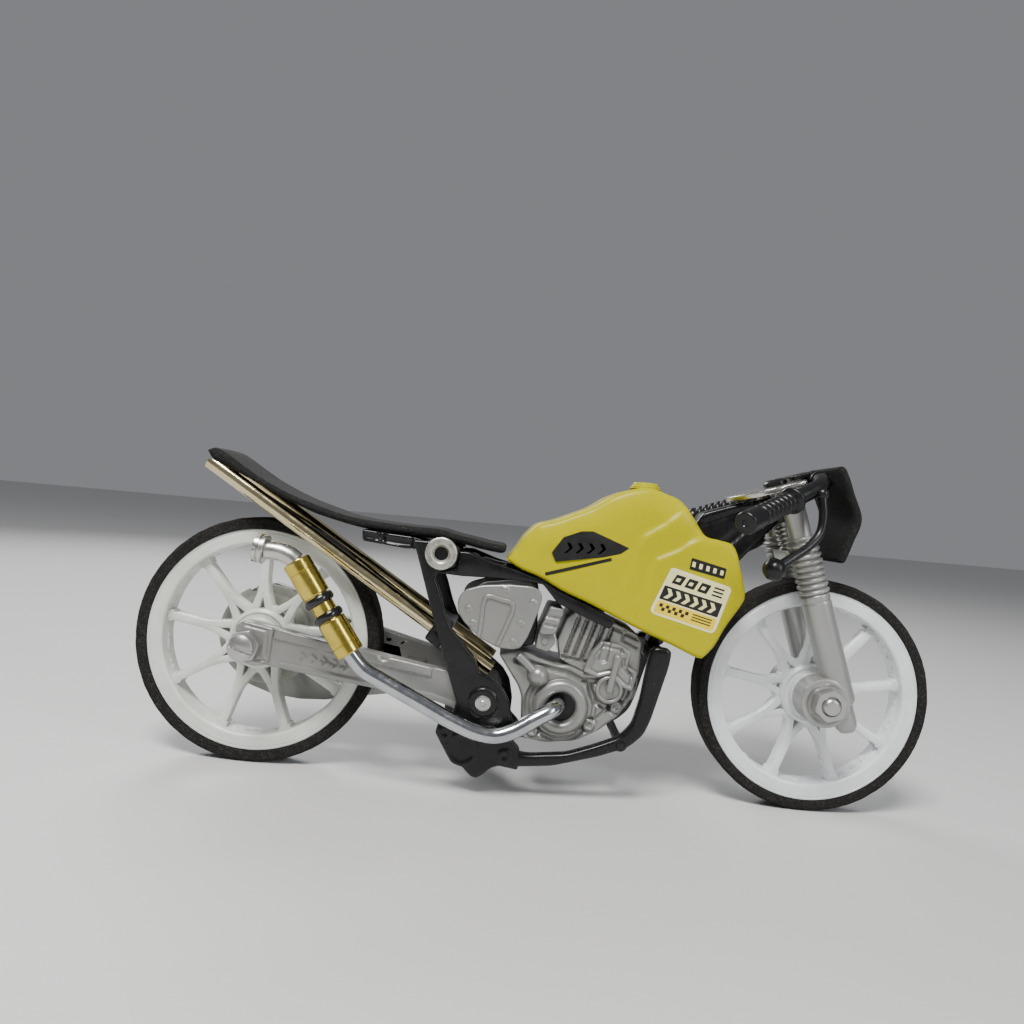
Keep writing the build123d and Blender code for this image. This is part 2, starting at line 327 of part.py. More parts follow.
brace = slab([(-2.4, -4.0), (2.4, -4.0), (2.4, 4.0), (-2.4, 4.0)], -8.8, -6.4)
save(brace + spin([(0, 0), (STEM_R, 0), (STEM_R, 11.9), (0, 11.9)], -20.6), "steering_stem")
spr = [(STEM_R, 0)]
for k in range(5):
    spr += [(1.75, 1.05 * k + 0.05), (2.25, 1.05 * k + 0.35), (2.25, 1.05 * k + 0.7), (1.75, 1.05 * k + 1.0)]
spr += [(STEM_R, 5.25)]
save(spin(spr, -14.1), "stem_spring")
TOP = [(3.0, -8.6)] + [(-2.0 - 8.2 * math.cos(math.radians(t)), 8.6 * math.sin(math.radians(t))) for t in range(-80, 81, 10)] + [(3.0, 8.6), (4.6, 5.0), (4.6, -5.0)]
save(slab(TOP, -21.7, -20.6), "top_plate")
save(spin([(0, 0), (1.3, 0), (2.3, 0.4), (2.3, 1.3), (0, 1.3)], -23.0), "stem_cap")
G1 = (32.9, -25.0, 55.3)
BAR = [(52.6, 0, 65.2), (52.6, -5.5, 65.2), (51.2, -9.5, 63.8), (45.8, -12.5, 60.9)]
half = tube(BAR, 1.5)
bar = half + flip(half) + slab([(2.7, -3.2), (7.4, -3.2), (7.4, 3.2), (2.7, 3.2)], -22.9, -21.7)
bar = bar + (prism([(53.0, 66.1), (55.45, 66.2), (56.2, 64.2), (53.0, 64.3)], -2.4, 2.4))
save(bar, "handlebar")
GA, GB = Vector(*BAR[-1]), Vector(*G1)
gd = (GB - GA).normalized()
gp = Plane(origin=GA, z_dir=gd)
L = (GB - GA).length
prof = [(0, 1.0), (1.5, 1.0), (2.5, 1.4), (2.5, 2.2), (1.6, 2.6)]
for k in range(7):
    z0 = 3.0 + 1.55 * k
    prof += [(1.62, z0), (1.95, z0 + 0.35), (1.95, z0 + 1.05), (1.62, z0 + 1.4)]
prof += [(1.75, 14.2), (2.05, 14.6), (2.05, L - 0.4), (1.7, L), (0, L)]
gface = Face(Wire.make_polygon([gp.from_local_coords(Vector(r, 0, z)) for r, z in prof], close=True))
grip = solid(Solid.revolve(gface, 360, Axis(GA, gd))) - bar
save(grip, "grip_right")
save(flip(grip), "grip_left")
LV = [(50.6, -10.9, 63.4), (51.0, -11.6, 60.6), (51.3, -11.9, 58.0), (50.7, -12.4, 54.8), (48.2, -13.6, 52.0), (42.6, -15.7, 48.2)]
lever = tube(LV, 0.95) + ball((41.6, -16.0, 47.6), 2.1)
lever = lever - bar - grip
save(lever, "lever_right")
save(flip(lever), "lever_left")
NP = [(54.9, 67.9), (56.5, 68.2), (60.3, 58.2), (58.0, 49.4), (56.5, 49.8), (58.6, 58.0)]
plate_n = prism(NP, -8.6, 8.6)
save(plate_n, "number_plate")
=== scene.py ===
import math
import random

import bmesh
import bpy
import numpy as np
from mathutils import Matrix, Vector
from mathutils.geometry import delaunay_2d_cdt


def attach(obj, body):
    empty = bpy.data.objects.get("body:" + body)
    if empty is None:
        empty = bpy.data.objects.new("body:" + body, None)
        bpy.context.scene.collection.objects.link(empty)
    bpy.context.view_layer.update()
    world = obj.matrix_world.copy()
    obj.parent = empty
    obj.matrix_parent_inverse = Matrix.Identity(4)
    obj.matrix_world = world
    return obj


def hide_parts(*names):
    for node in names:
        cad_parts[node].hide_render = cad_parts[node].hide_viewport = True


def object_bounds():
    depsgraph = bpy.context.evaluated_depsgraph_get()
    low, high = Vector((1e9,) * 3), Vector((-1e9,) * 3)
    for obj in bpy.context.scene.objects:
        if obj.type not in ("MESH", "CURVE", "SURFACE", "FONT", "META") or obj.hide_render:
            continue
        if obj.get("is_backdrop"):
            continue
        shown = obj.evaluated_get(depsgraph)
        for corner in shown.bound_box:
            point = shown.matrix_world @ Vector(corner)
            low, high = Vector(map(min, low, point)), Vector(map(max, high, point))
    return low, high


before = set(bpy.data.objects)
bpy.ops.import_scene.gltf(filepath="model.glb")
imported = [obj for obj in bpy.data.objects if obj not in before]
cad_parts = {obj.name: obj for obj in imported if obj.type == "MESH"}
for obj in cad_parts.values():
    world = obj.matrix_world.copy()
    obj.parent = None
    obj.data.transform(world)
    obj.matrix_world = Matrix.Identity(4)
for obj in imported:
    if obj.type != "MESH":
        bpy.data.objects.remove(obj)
LO0, HI0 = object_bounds()
rng = random.Random(11)
npr = np.random.RandomState(5)

# ------------------------------------------------------------------ materials


def mat(name, base, rough, metal=0.0, coat=0.0, sss=0.0, fine=None, mottle=None, specks=None, rvar=None, brushed=None, coatr=0.1, spec=0.5):
    m = bpy.data.materials.new(name)
    m.use_nodes = True
    nt = m.node_tree
    p = nt.nodes["Principled BSDF"]
    p.inputs["Base Color"].default_value = (*base, 1)
    p.inputs["Roughness"].default_value = rough
    p.inputs["Metallic"].default_value = metal
    p.inputs["Specular IOR Level"].default_value = spec
    p.inputs["Coat Weight"].default_value = coat
    p.inputs["Coat Roughness"].default_value = coatr
    if sss:
        p.inputs["Subsurface Weight"].default_value = sss
        p.inputs["Subsurface Radius"].default_value = (1.0, 0.8, 0.6)
        p.inputs["Subsurface Scale"].default_value = 0.0012
    tc = nt.nodes.new("ShaderNodeTexCoord")

    def noise(scale, detail=4.0, rough_=0.55, stretch=None):
        n = nt.nodes.new("ShaderNodeTexNoise")
        n.inputs["Scale"].default_value = scale
        n.inputs["Detail"].default_value = detail
        n.inputs["Roughness"].default_value = rough_
        if stretch:
            mp = nt.nodes.new("ShaderNodeMapping")
            mp.inputs["Scale"].default_value = stretch
            mp.inputs["Rotation"].default_value = brushed[2] if brushed and len(brushed) > 2 else (0, 0, 0)
            nt.links.new(tc.outputs["Object"], mp.inputs["Vector"])
            nt.links.new(mp.outputs["Vector"], n.inputs["Vector"])
        else:
            nt.links.new(tc.outputs["Object"], n.inputs["Vector"])
        return n

    def ramp(src, a, b):
        r = nt.nodes.new("ShaderNodeMapRange")
        r.inputs["From Min"].default_value = a
        r.inputs["From Max"].default_value = b
        nt.links.new(src, r.inputs["Value"])
        return r.outputs["Result"]

    col = None
    if mottle:
        scale, other, a, b = mottle
        n = noise(scale)
        mx = nt.nodes.new("ShaderNodeMix")
        mx.data_type = "RGBA"
        mx.inputs["A"].default_value = (*base, 1)
        mx.inputs["B"].default_value = (*other, 1)
        nt.links.new(ramp(n.outputs["Fac"], a, b), mx.inputs["Factor"])
        col = mx.outputs["Result"]
    if specks:
        scale, thr, other = specks
        n = noise(scale, 2.0, 0.5)
        mx = nt.nodes.new("ShaderNodeMix")
        mx.data_type = "RGBA"
        if col is None:
            mx.inputs["A"].default_value = (*base, 1)
        else:
            nt.links.new(col, mx.inputs["A"])
        mx.inputs["B"].default_value = (*other, 1)
        nt.links.new(ramp(n.outputs["Fac"], thr, thr + 0.06), mx.inputs["Factor"])
        col = mx.outputs["Result"]
    if col is not None:
        nt.links.new(col, p.inputs["Base Color"])
    if rvar:
        scale, lo, hi = rvar
        n = noise(scale)
        r = nt.nodes.new("ShaderNodeMapRange")
        r.inputs["From Min"].default_value = 0.3
        r.inputs["From Max"].default_value = 0.7
        r.inputs["To Min"].default_value = lo
        r.inputs["To Max"].default_value = hi
        nt.links.new(n.outputs["Fac"], r.inputs["Value"])
        nt.links.new(r.outputs["Result"], p.inputs["Roughness"])
    last = None
    for spec in [fine] if fine and not isinstance(fine, list) else (fine or []):
        scale, strength, dist = spec
        n = noise(scale, 5.0, 0.6)
        b = nt.nodes.new("ShaderNodeBump")
        b.inputs["Strength"].default_value = strength
        b.inputs["Distance"].default_value = dist * 0.001
        nt.links.new(n.outputs["Fac"], b.inputs["Height"])
        if last is not None:
            nt.links.new(last, b.inputs["Normal"])
        last = b.outputs["Normal"]
    if brushed:
        n = noise(brushed[0], 3.0, 0.5, brushed[1])
        b = nt.nodes.new("ShaderNodeBump")
        b.inputs["Strength"].default_value = 0.25
        b.inputs["Distance"].default_value = 0.00003
        nt.links.new(n.outputs["Fac"], b.inputs["Height"])
        if last is not None:
            nt.links.new(last, b.inputs["Normal"])
        last = b.outputs["Normal"]
    if last is not None:
        nt.links.new(last, p.inputs["Normal"])
    return m


YELLOW = mat("yellow gloss plastic", (0.43, 0.392, 0.0), 0.26, spec=0.14, fine=[(160, 0.2, 0.08), (1400, 0.06, 0.03)], mottle=(90, (0.405, 0.368, 0.0), 0.42, 0.7), rvar=(500, 0.22, 0.32))
FOAM = mat("charcoal foam", (0.012, 0.0115, 0.0105), 0.95, spec=0.2, fine=[(1500, 0.9, 0.16), (4200, 0.8, 0.08)], mottle=(2600, (0.035, 0.032, 0.029), 0.5, 0.66), specks=(3300, 0.69, (0.09, 0.085, 0.078)))
BLACK = mat("glossy black plastic", (0.004, 0.004, 0.0045), 0.22, spec=0.38, fine=[(260, 0.3, 0.1), (2400, 0.18, 0.03)], specks=(2900, 0.735, (0.12, 0.115, 0.10)), rvar=(420, 0.18, 0.38))
BLACK2 = mat("satin black plastic", (0.005, 0.005, 0.0055), 0.28, spec=0.38, fine=[(900, 0.25, 0.05)], specks=(2600, 0.74, (0.10, 0.10, 0.09)), rvar=(700, 0.24, 0.4))
SILVER = mat("satin silver plastic", (0.285, 0.285, 0.272), 0.33, metal=0.55, fine=[(400, 0.15, 0.03), (2600, 0.18, 0.02)], mottle=(160, (0.25, 0.25, 0.24), 0.4, 0.72), rvar=(700, 0.28, 0.4))
GREY = mat("silver grey plastic", (0.28, 0.28, 0.27), 0.35, metal=0.5, fine=[(400, 0.14, 0.03), (2200, 0.18, 0.02)], mottle=(140, (0.245, 0.245, 0.235), 0.4, 0.72), rvar=(700, 0.3, 0.42))
FORK = mat("satin silver fork plastic", (0.36, 0.36, 0.348), 0.36, metal=0.6, fine=[(2600, 0.1, 0.01)], mottle=(160, (0.338, 0.338, 0.327), 0.45, 0.75), rvar=(700, 0.33, 0.39))
WHITE_F = mat("white rim plastic", (0.74, 0.77, 0.785), 0.3, sss=0.05, coat=0.1, fine=[(420, 0.3, 0.06), (2100, 0.2, 0.03)], mottle=(220, (0.67, 0.705, 0.72), 0.42, 0.7), rvar=(700, 0.23, 0.4))
WHITE_R = mat("milky rim plastic", (0.66, 0.675, 0.63), 0.33, sss=0.05, coat=0.1, fine=[(420, 0.3, 0.06), (2100, 0.2, 0.03)], mottle=(220, (0.58, 0.595, 0.55), 0.42, 0.7), rvar=(700, 0.26, 0.42))
# disc colour: the milky rim colour darkened, painted shade for the shade behind the spokes
DISC_SHADED_M = mat("milky disc plastic darkened as painted shade", (0.40, 0.405, 0.37), 0.42, sss=0.1, fine=[(420, 0.35, 0.07), (2100, 0.2, 0.03)], mottle=(220, (0.33, 0.335, 0.30), 0.42, 0.7), rvar=(700, 0.34, 0.5))
STEEL = mat("bright plated steel", (0.47, 0.465, 0.455), 0.3, metal=0.88, fine=[(3000, 0.05, 0.01)], rvar=(700, 0.28, 0.33), mottle=(300, (0.445, 0.44, 0.43), 0.45, 0.74))
PIPE_M = mat("polished steel tube", (0.50, 0.52, 0.54), 0.15, metal=1.0, fine=[(160, 0.3, 0.06), (1500, 0.12, 0.02)], rvar=(800, 0.1, 0.24), mottle=(260, (0.38, 0.40, 0.43), 0.45, 0.72))
BRASS = mat("polished brass tube", (0.66, 0.51, 0.10), 0.2, metal=1.0, fine=[(300, 0.14, 0.04), (1800, 0.12, 0.02)], rvar=(900, 0.15, 0.28), mottle=(300, (0.50, 0.375, 0.06), 0.42, 0.68))
GOLD = mat("champagne bright tube", (0.68, 0.59, 0.36), 0.12, metal=1.0, fine=[(300, 0.2, 0.03)], rvar=(500, 0.08, 0.2), mottle=(120, (0.56, 0.47, 0.26), 0.45, 0.7))
CREAM = mat("dull cut tube end", (0.62, 0.53, 0.32), 0.5, metal=0.5, fine=[(2600, 0.8, 0.08)], mottle=(1500, (0.42, 0.34, 0.18), 0.45, 0.65))
RUBBER = mat("gloss black rubber", (0.005, 0.005, 0.0055), 0.22, coat=0.2, fine=[(1600, 0.2, 0.03)], rvar=(900, 0.16, 0.34))
ALU = mat("satin aluminium", (0.56, 0.55, 0.52), 0.28, metal=1.0, fine=[(500, 0.1, 0.03), (3200, 0.1, 0.015)], rvar=(700, 0.22, 0.36), mottle=(350, (0.48, 0.47, 0.44), 0.45, 0.72))
BUSH = mat("pale bush metal", (0.52, 0.51, 0.45), 0.34, metal=0.8, fine=[(1400, 0.5, 0.05)], mottle=(800, (0.33, 0.32, 0.28), 0.45, 0.68), rvar=(900, 0.26, 0.48))
SEATM = mat("black seat foam", (0.007, 0.007, 0.007), 0.85, spec=0.25, fine=[(1700, 0.9, 0.14), (4300, 0.7, 0.06)], mottle=(2400, (0.022, 0.022, 0.021), 0.5, 0.66), specks=(3600, 0.7, (0.08, 0.08, 0.076)))
S_PALE = mat("sticker pale", (0.80, 0.74, 0.30), 0.34, fine=[(700, 0.15, 0.02)], mottle=(400, (0.82, 0.78, 0.40), 0.4, 0.7))
S_BLACK = mat("sticker black", (0.006, 0.006, 0.006), 0.32, fine=[(900, 0.15, 0.02)], mottle=(500, (0.012, 0.012, 0.012), 0.4, 0.7))
S_YEL = mat("sticker yellow", (0.84, 0.62, 0.01), 0.32, fine=[(700, 0.15, 0.02)], mottle=(400, (0.80, 0.58, 0.01), 0.4, 0.7))
S_EDGE = mat("sticker edge", (0.86, 0.81, 0.50), 0.34, fine=[(700, 0.15, 0.02)], mottle=(600, (0.80, 0.75, 0.42), 0.4, 0.7))

# ------------------------------------------------------------------ shape tools, in millimetres


class M:
    def __init__(self):
        self.v, self.f, self.m = [], [], []

    def add(self, v, f, m=0):
        k = len(self.v)
        self.v += [tuple(float(c) for c in p) for p in v]
        self.f += [tuple(k + i for i in q) for q in f]
        self.m += [m] * len(f)
        return self

    def join(self, other, m=None):
        k = len(self.v)
        self.v += other.v
        self.f += [tuple(k + i for i in q) for q in other.f]
        self.m += other.m if m is None else [m] * len(other.f)
        return self

    def flip(self):
        o = M()
        o.v = [(x, -y, z) for x, y, z in self.v]
        o.f = [tuple(reversed(q)) for q in self.f]
        o.m = list(self.m)
        return o

    def make(self, name, mats, body, nodes=(), slot=None, weld=0.002, angle=38, smooth=True):
        me = bpy.data.meshes.new(name)
        me.from_pydata([(x * 0.001, y * 0.001, z * 0.001) for x, y, z in self.v], [], self.f)
        for mm in mats:
            me.materials.append(mm)
        for poly, k in zip(me.polygons, self.m):
            poly.material_index = k
        bm = bmesh.new()
        bm.from_mesh(me)
        if weld:
            bmesh.ops.remove_doubles(bm, verts=bm.verts, dist=weld * 0.001)
        bm.to_mesh(me)
        bm.free()
        me.validate()
        me.update()
        if smooth:
            me.shade_smooth()
            me.set_sharp_from_angle(angle=math.radians(angle))
        o = bpy.data.objects.new(name, me)
        bpy.context.scene.collection.objects.link(o)
        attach(o, body)
        if nodes:
            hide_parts(*nodes)
        return o


def basis(d):
    d = Vector(d).normalized()
    a = Vector((0, 1, 0)) if abs(d.y) < 0.9 else Vector((1, 0, 0))
    u = a.cross(d).normalized()
    return u, d.cross(u).normalized(), d


def lathe(prof, o, d, segs=64, m=0, closed=False, jit=0.0, phase=0.0):
    """Turned shape: profile of (radius, distance along d)."""
    u, w, d = basis(d)
    o = Vector(o)
    out = M()
    rows = []
    v = []
    held = []
    ring_ = list(zip(prof, prof[1:] + prof[:1])) if closed else list(zip(prof, prof[1:]))
    for p0, p1 in ring_:
        held.append(p0)
        gap = math.dist(p0, p1)
        if gap > 0.45:
            q = min(0.1, gap * 0.2) / gap
            for t in (q, 1 - q):
                held.append((p0[0] + (p1[0] - p0[0]) * t, p0[1] + (p1[1] - p0[1]) * t))
    if not closed:
        held.append(prof[-1])
    prof = held
    for r, t in prof:
        if r < 1e-6 and not closed:
            rows.append([len(v)])
            v.append(o + d * t)
        else:
            row = []
            for k in range(segs):
                a = 2 * math.pi * k / segs + phase
                rr = r + (rng.uniform(-jit, jit) if jit else 0)
                tt = t + (rng.uniform(-jit, jit) if jit else 0)
                row.append(len(v))
                v.append(o + d * tt + (u * math.cos(a) + w * math.sin(a)) * rr)
            rows.append(row)
    f = []
    pairs = list(zip(rows, rows[1:]))
    if closed:
        pairs.append((rows[-1], rows[0]))
    for a, b in pairs:
        for k in range(segs):
            k2 = (k + 1) % segs
            if len(a) == 1 and len(b) == 1:
                continue
            if len(a) == 1:
                f.append((a[0], b[k2], b[k]))
            elif len(b) == 1:
                f.append((a[k], a[k2], b[0]))
            else:
                f.append((a[k], a[k2], b[k2], b[k]))
    # face outwards
    out.add(v, f, m)
    return orient(out)


def orient(s):
    """Turn every closed shell outwards."""
    bm = bmesh.new()
    vs = [bm.verts.new(p) for p in s.v]
    fs = []
    seen = set()
    for q, mi in zip(s.f, s.m):
        key = frozenset(q)
        if len(set(q)) < 3 or key in seen:
            continue
        seen.add(key)
        try:
            fc = bm.faces.new([vs[i] for i in q])
        except ValueError:
            continue
        fc.material_index = mi
        fs.append(fc)
    bmesh.ops.recalc_face_normals(bm, faces=bm.faces)
    bm.verts.index_update()
    o = M()
    o.v = [tuple(v.co) for v in bm.verts]
    o.f = [tuple(v.index for v in fc.verts) for fc in bm.faces]
    o.m = [fc.material_index for fc in bm.faces]
    bm.free()
    return o


def catmull(pts, n=8, closed=False):
    p = [Vector(q) for q in pts]
    out = []
    cnt = len(p) if closed else len(p) - 1
    for i in range(cnt):
        p1, p2 = p[i], p[(i + 1) % len(p)]
        p0 = p[i - 1] if (i > 0 or closed) else p1 * 2 - p2
        p3 = p[(i + 2) % len(p)] if (i + 2 < len(p) or closed) else p2 * 2 - p1
        d1, d2, d3 = (max((b - a).length, 1e-6) ** 0.5 for a, b in ((p0, p1), (p1, p2), (p2, p3)))
        m1 = (p1 - p0) / d1 - (p2 - p0) / (d1 + d2) + (p2 - p1) / d2
        m2 = (p2 - p1) / d2 - (p3 - p1) / (d2 + d3) + (p3 - p2) / d3
        m1, m2 = m1 * d2, m2 * d2
        for k in range(n):
            t = k / n
            h = (2 * t**3 - 3 * t**2 + 1, t**3 - 2 * t**2 + t, -2 * t**3 + 3 * t**2, t**3 - t**2)
            out.append(p1 * h[0] + m1 * h[1] + p2 * h[2] + m2 * h[3])
    if not closed:
        out.append(p[-1])
    return out


def sweep(pts, r, segs=20, m=0, radii=None, flat=1.0, capr=0.25, mend=None):
    """Round (or flattened) bar along a line, with eased ends."""
    p = [Vector(q) for q in pts]
    n = len(p)
    tang = []
    for i in range(n):
        a = p[max(i - 1, 0)]
        b = p[min(i + 1, n - 1)]
        tang.append((b - a).normalized())
    u, w, _ = basis(tang[0])
    v, rows = [], []
    rad = [r if radii is None else radii(i / (n - 1)) for i in range(n)]
    frames = []
    for i in range(n):
        if i:
            q = tang[i - 1].rotation_difference(tang[i])
            u, w = q @ u, q @ w
        frames.append((u.copy(), w.copy()))
    ends = []
    if capr:
        ends = [(-0.0, 1.0 - capr), (0.0, 1.0)]
    seq = []
    if capr:
        seq.append((0, 0.0, 1 - capr))
        seq.append((0, capr * rad[0] * 0.5, 1 - capr * 0.3))
        for i in range(n):
            if 0 < i < n - 1:
                seq.append((i, 0.0, 1.0))
            elif i == 0:
                seq.append((0, capr * rad[0], 1.0))
            else:
                seq.append((n - 1, -capr * rad[-1], 1.0))
        seq.append((n - 1, -capr * rad[-1] * 0.5, 1 - capr * 0.3))
        seq.append((n - 1, 0.0, 1 - capr))
    else:
        seq = [(i, 0.0, 1.0) for i in range(n)]
    for i, off, k in seq:
        c = p[i] + tang[i] * off
        fu, fw = frames[i]
        row = []
        for s in range(segs):
            a = 2 * math.pi * s / segs
            row.append(len(v))
            v.append(c + fu * (math.cos(a) * rad[i] * k) + fw * (math.sin(a) * rad[i] * k * flat))
        rows.append(row)
    f = []
    for a, b in zip(rows, rows[1:]):
        for s in range(segs):
            s2 = (s + 1) % segs
            f.append((a[s], a[s2], b[s2], b[s]))
    out = M()
    out.add(v, f, m)
    k0, k1 = tuple(reversed(rows[0])), tuple(rows[-1])
    out.f += [k0, k1]
    out.m += [m if mend is None else mend] * 2
    return orient(out)


def sphere(c, r, m=0, segs=32, rings=16):
    prof = [(max(r * math.sin(math.pi * k / rings), 0.0) if 0 < k < rings else 0.0, -r * math.cos(math.pi * k / rings)) for k in range(rings + 1)]
    return lathe(prof, c, (0, 1, 0), segs, m)


def area2(p):
    return sum(a[0] * b[1] - b[0] * a[1] for a, b in zip(p, p[1:] + p[:1]))


def ccw(p):
    p = [tuple(q) for q in p]
    return p if area2(p) > 0 else p[::-1]


def rounded(pts, r, n=4):
    """Ease every corner of a closed outline."""
    p = ccw(pts)
    out = []
    for i, b in enumerate(p):
        a, c = p[i - 1], p[(i + 1) % len(p)]
        la, lc = math.dist(a, b), math.dist(c, b)
        d = min(r, la * 0.48, lc * 0.48)
        p0 = (b[0] + (a[0] - b[0]) * d / la, b[1] + (a[1] - b[1]) * d / la)
        p2 = (b[0] + (c[0] - b[0]) * d / lc, b[1] + (c[1] - b[1]) * d / lc)
        for k in range(n + 1):
            t = k / n
            out.append(((1 - t) ** 2 * p0[0] + 2 * t * (1 - t) * b[0] + t * t * p2[0], (1 - t) ** 2 * p0[1] + 2 * t * (1 - t) * b[1] + t * t * p2[1]))
    res = []
    for q in out:
        if not res or math.dist(q, res[-1]) > 0.02:
            res.append(q)
    if math.dist(res[0], res[-1]) < 0.02:
        res.pop()
    return res


def resample(p, step):
    out = []
    for a, b in zip(p, p[1:] + p[:1]):
        k = max(1, int(math.ceil(math.dist(a, b) / step)))
        for i in range(k):
            out.append((a[0] + (b[0] - a[0]) * i / k, a[1] + (b[1] - a[1]) * i / k))
    return out


def inset(p, d):
    """Move a counter-clockwise loop inwards by d."""
    out = []
    n = len(p)
    for i in range(n):
        a, b, c = p[i - 1], p[i], p[(i + 1) % n]
        e1 = np.array([b[0] - a[0], b[1] - a[1]])
        e2 = np.array([c[0] - b[0], c[1] - b[1]])
        n1 = np.array([-e1[1], e1[0]]) / max(np.hypot(*e1), 1e-9)
        n2 = np.array([-e2[1], e2[0]]) / max(np.hypot(*e2), 1e-9)
        nn = n1 + n2
        L = np.hypot(*nn)
        nn = nn / L if L > 1e-6 else n1
        k = 1 / max(float(nn @ n1), 0.6)
        out.append((b[0] + nn[0] * d * k, b[1] + nn[1] * d * k))
    return out


def inside(x, z, poly):
    x, z = np.asarray(x, float), np.asarray(z, float)
    c = np.zeros(x.shape, bool)
    for (ax, az), (bx, bz) in zip(poly, poly[1:] + poly[:1]):
        if az == bz:
            continue
        hit = (az > z) != (bz > z)
        t = (z - az) / (bz - az)
        c ^= hit & (x < ax + t * (bx - ax))
    return c


def dline(x, z, pts, closed=False):
    x, z = np.asarray(x, float), np.asarray(z, float)
    d = np.full(x.shape, 1e9)
    seg = list(zip(pts, pts[1:] + pts[:1])) if closed else list(zip(pts, pts[1:]))
    for (ax, az), (bx, bz) in seg:
        L2 = (bx - ax) ** 2 + (bz - az) ** 2 or 1e-9
        t = np.clip(((x - ax) * (bx - ax) + (z - az) * (bz - az)) / L2, 0, 1)
        d = np.minimum(d, np.hypot(x - ax - t * (bx - ax), z - az - t * (bz - az)))
    return d


def sd(x, z, poly):
    """Signed distance, positive inside."""
    d = dline(x, z, poly, True)
    return np.where(inside(x, z, poly), d, -d)


def step(d, w=0.35):
    """Soft step from 0 to 1 over width w as d crosses zero."""
    t = np.clip(d / w + 0.5, 0, 1)
    return t * t * (3 - 2 * t)


def disc(x, z, cx, cz):
    return np.hypot(np.asarray(x, float) - cx, np.asarray(z, float) - cz)


def plate(outline, y0, y1, edge=0.3, back=None, holes=(), h=None, grid=None, corner=0.5, m=0, seg=0.9, mb=None, raw=False):
    """A moulded plate. y0 is the outer face (further right), y1 the inner one. h(x, z) raises the outer face; holes are (x, z, r) or loops."""
    back = edge if back is None else back
    p = ccw(outline) if raw else rounded(outline, corner)
    p = resample(p, seg if h is None else min(seg, (grid or 0.5) * 1.6))
    loops = []
    for hl in holes:
        if len(hl) == 3 and not isinstance(hl[0], (tuple, list)):
            n = max(16, int(hl[2] * 14))
            loops.append([(hl[0] + hl[2] * math.cos(2 * math.pi * k / n), hl[1] + hl[2] * math.sin(2 * math.pi * k / n)) for k in range(n)])
        else:
            loops.append(resample(rounded(hl, 0.3), 0.6))
    hf = (lambda x, z: np.zeros(np.asarray(x, float).shape)) if h is None else h
    out = M()

    def ring(loop, y, lift):
        xs, zs = np.array([q[0] for q in loop]), np.array([q[1] for q in loop])
        hh = hf(xs, zs) if lift else np.zeros(len(loop))
        return [(x, y - k, z) for x, z, k in zip(xs, zs, hh)]

    def bridge(a, b):
        n = len(a)
        out.add(a + b, [(i, (i + 1) % n, n + (i + 1) % n, n + i) for i in range(n)], m)

    def cap(outer, hls, y, lift, dense):
        pts, edges = [], []
        for lp in [outer] + hls:
            k = len(pts)
            pts += [Vector(q) for q in lp]
            edges += [(k + i, k + (i + 1) % len(lp)) for i in range(len(lp))]
        if dense:
            xs = np.arange(min(q[0] for q in outer), max(q[0] for q in outer), dense)
            zs = np.arange(min(q[1] for q in outer), max(q[1] for q in outer), dense)
            gx, gz = np.meshgrid(xs, zs)
            gx[1::2] += dense * 0.5
            gx, gz = gx.ravel(), gz.ravel()
            keep = inside(gx, gz, outer) & (dline(gx, gz, outer, True) > dense * 0.45)
            for lp in hls:
                keep &= ~inside(gx, gz, lp) & (dline(gx, gz, lp, True) > dense * 0.45)
            pts += [Vector((a, b)) for a, b in zip(gx[keep], gz[keep])]
        v2, _, f2, *_ = delaunay_2d_cdt(pts, edges, [], 2, 1e-6)
        xs, zs = np.array([q.x for q in v2]), np.array([q.y for q in v2])
        hh = hf(xs, zs) if lift else np.zeros(len(v2))
        out.add([(x, y - k, z) for x, z, k in zip(xs, zs, hh)], f2, m if lift or mb is None else mb)

    def stack(loop, grow):
        fr, bk = [], []
        for t in ((0, 30, 60, 90) if edge > 0.01 else (90,)):
            a = math.radians(t)
            fr.append((inset(loop, grow * edge * (1 - math.cos(a))), y0 + edge * (1 - math.sin(a))))
        for t in ((0, 45, 90) if back > 0.01 else (90,)):
            a = math.radians(t)
            bk.append((inset(loop, grow * back * (1 - math.cos(a))), y1 - back * (1 - math.sin(a))))
        for (l0, ya), (l1, yb) in zip(fr, fr[1:]):
            bridge(ring(l0, ya, True), ring(l1, yb, True))
        bridge(ring(fr[0][0], fr[0][1], True), ring(bk[0][0], bk[0][1], False))
        for (l0, ya), (l1, yb) in zip(bk, bk[1:]):
            bridge(ring(l0, ya, False), ring(l1, yb, False))
        return fr[-1][0], bk[-1][0]

    fo, bo = stack(p, 1)
    fh, bh = [], []
    for lp in loops:
        e0, b0 = edge, back
        a, b = stack(lp, -0.6)
        fh.append(a)
        bh.append(b)
    cap(fo, fh, y0, True, grid if h is not None else None)
    cap(bo, bh, y1, False, None)
    s = M()
    s.v, s.f, s.m = out.v, out.f, out.m
    return weld(s)


def weld(s, d=0.0015):
    bm = bmesh.new()
    vs = [bm.verts.new(p) for p in s.v]
    for q, mi in zip(s.f, s.m):
        if len(set(q)) < 3:
            continue
        try:
            bm.faces.new([vs[i] for i in q]).material_index = mi
        except ValueError:
            pass
    bmesh.ops.remove_doubles(bm, verts=bm.verts, dist=d)
    bmesh.ops.recalc_face_normals(bm, faces=bm.faces)
    bm.verts.index_update()
    o = M()
    o.v = [tuple(v.co) for v in bm.verts]
    o.f = [tuple(v.index for v in fc.verts) for fc in bm.faces]
    o.m = [fc.material_index for fc in bm.faces]
    bm.free()
    return o


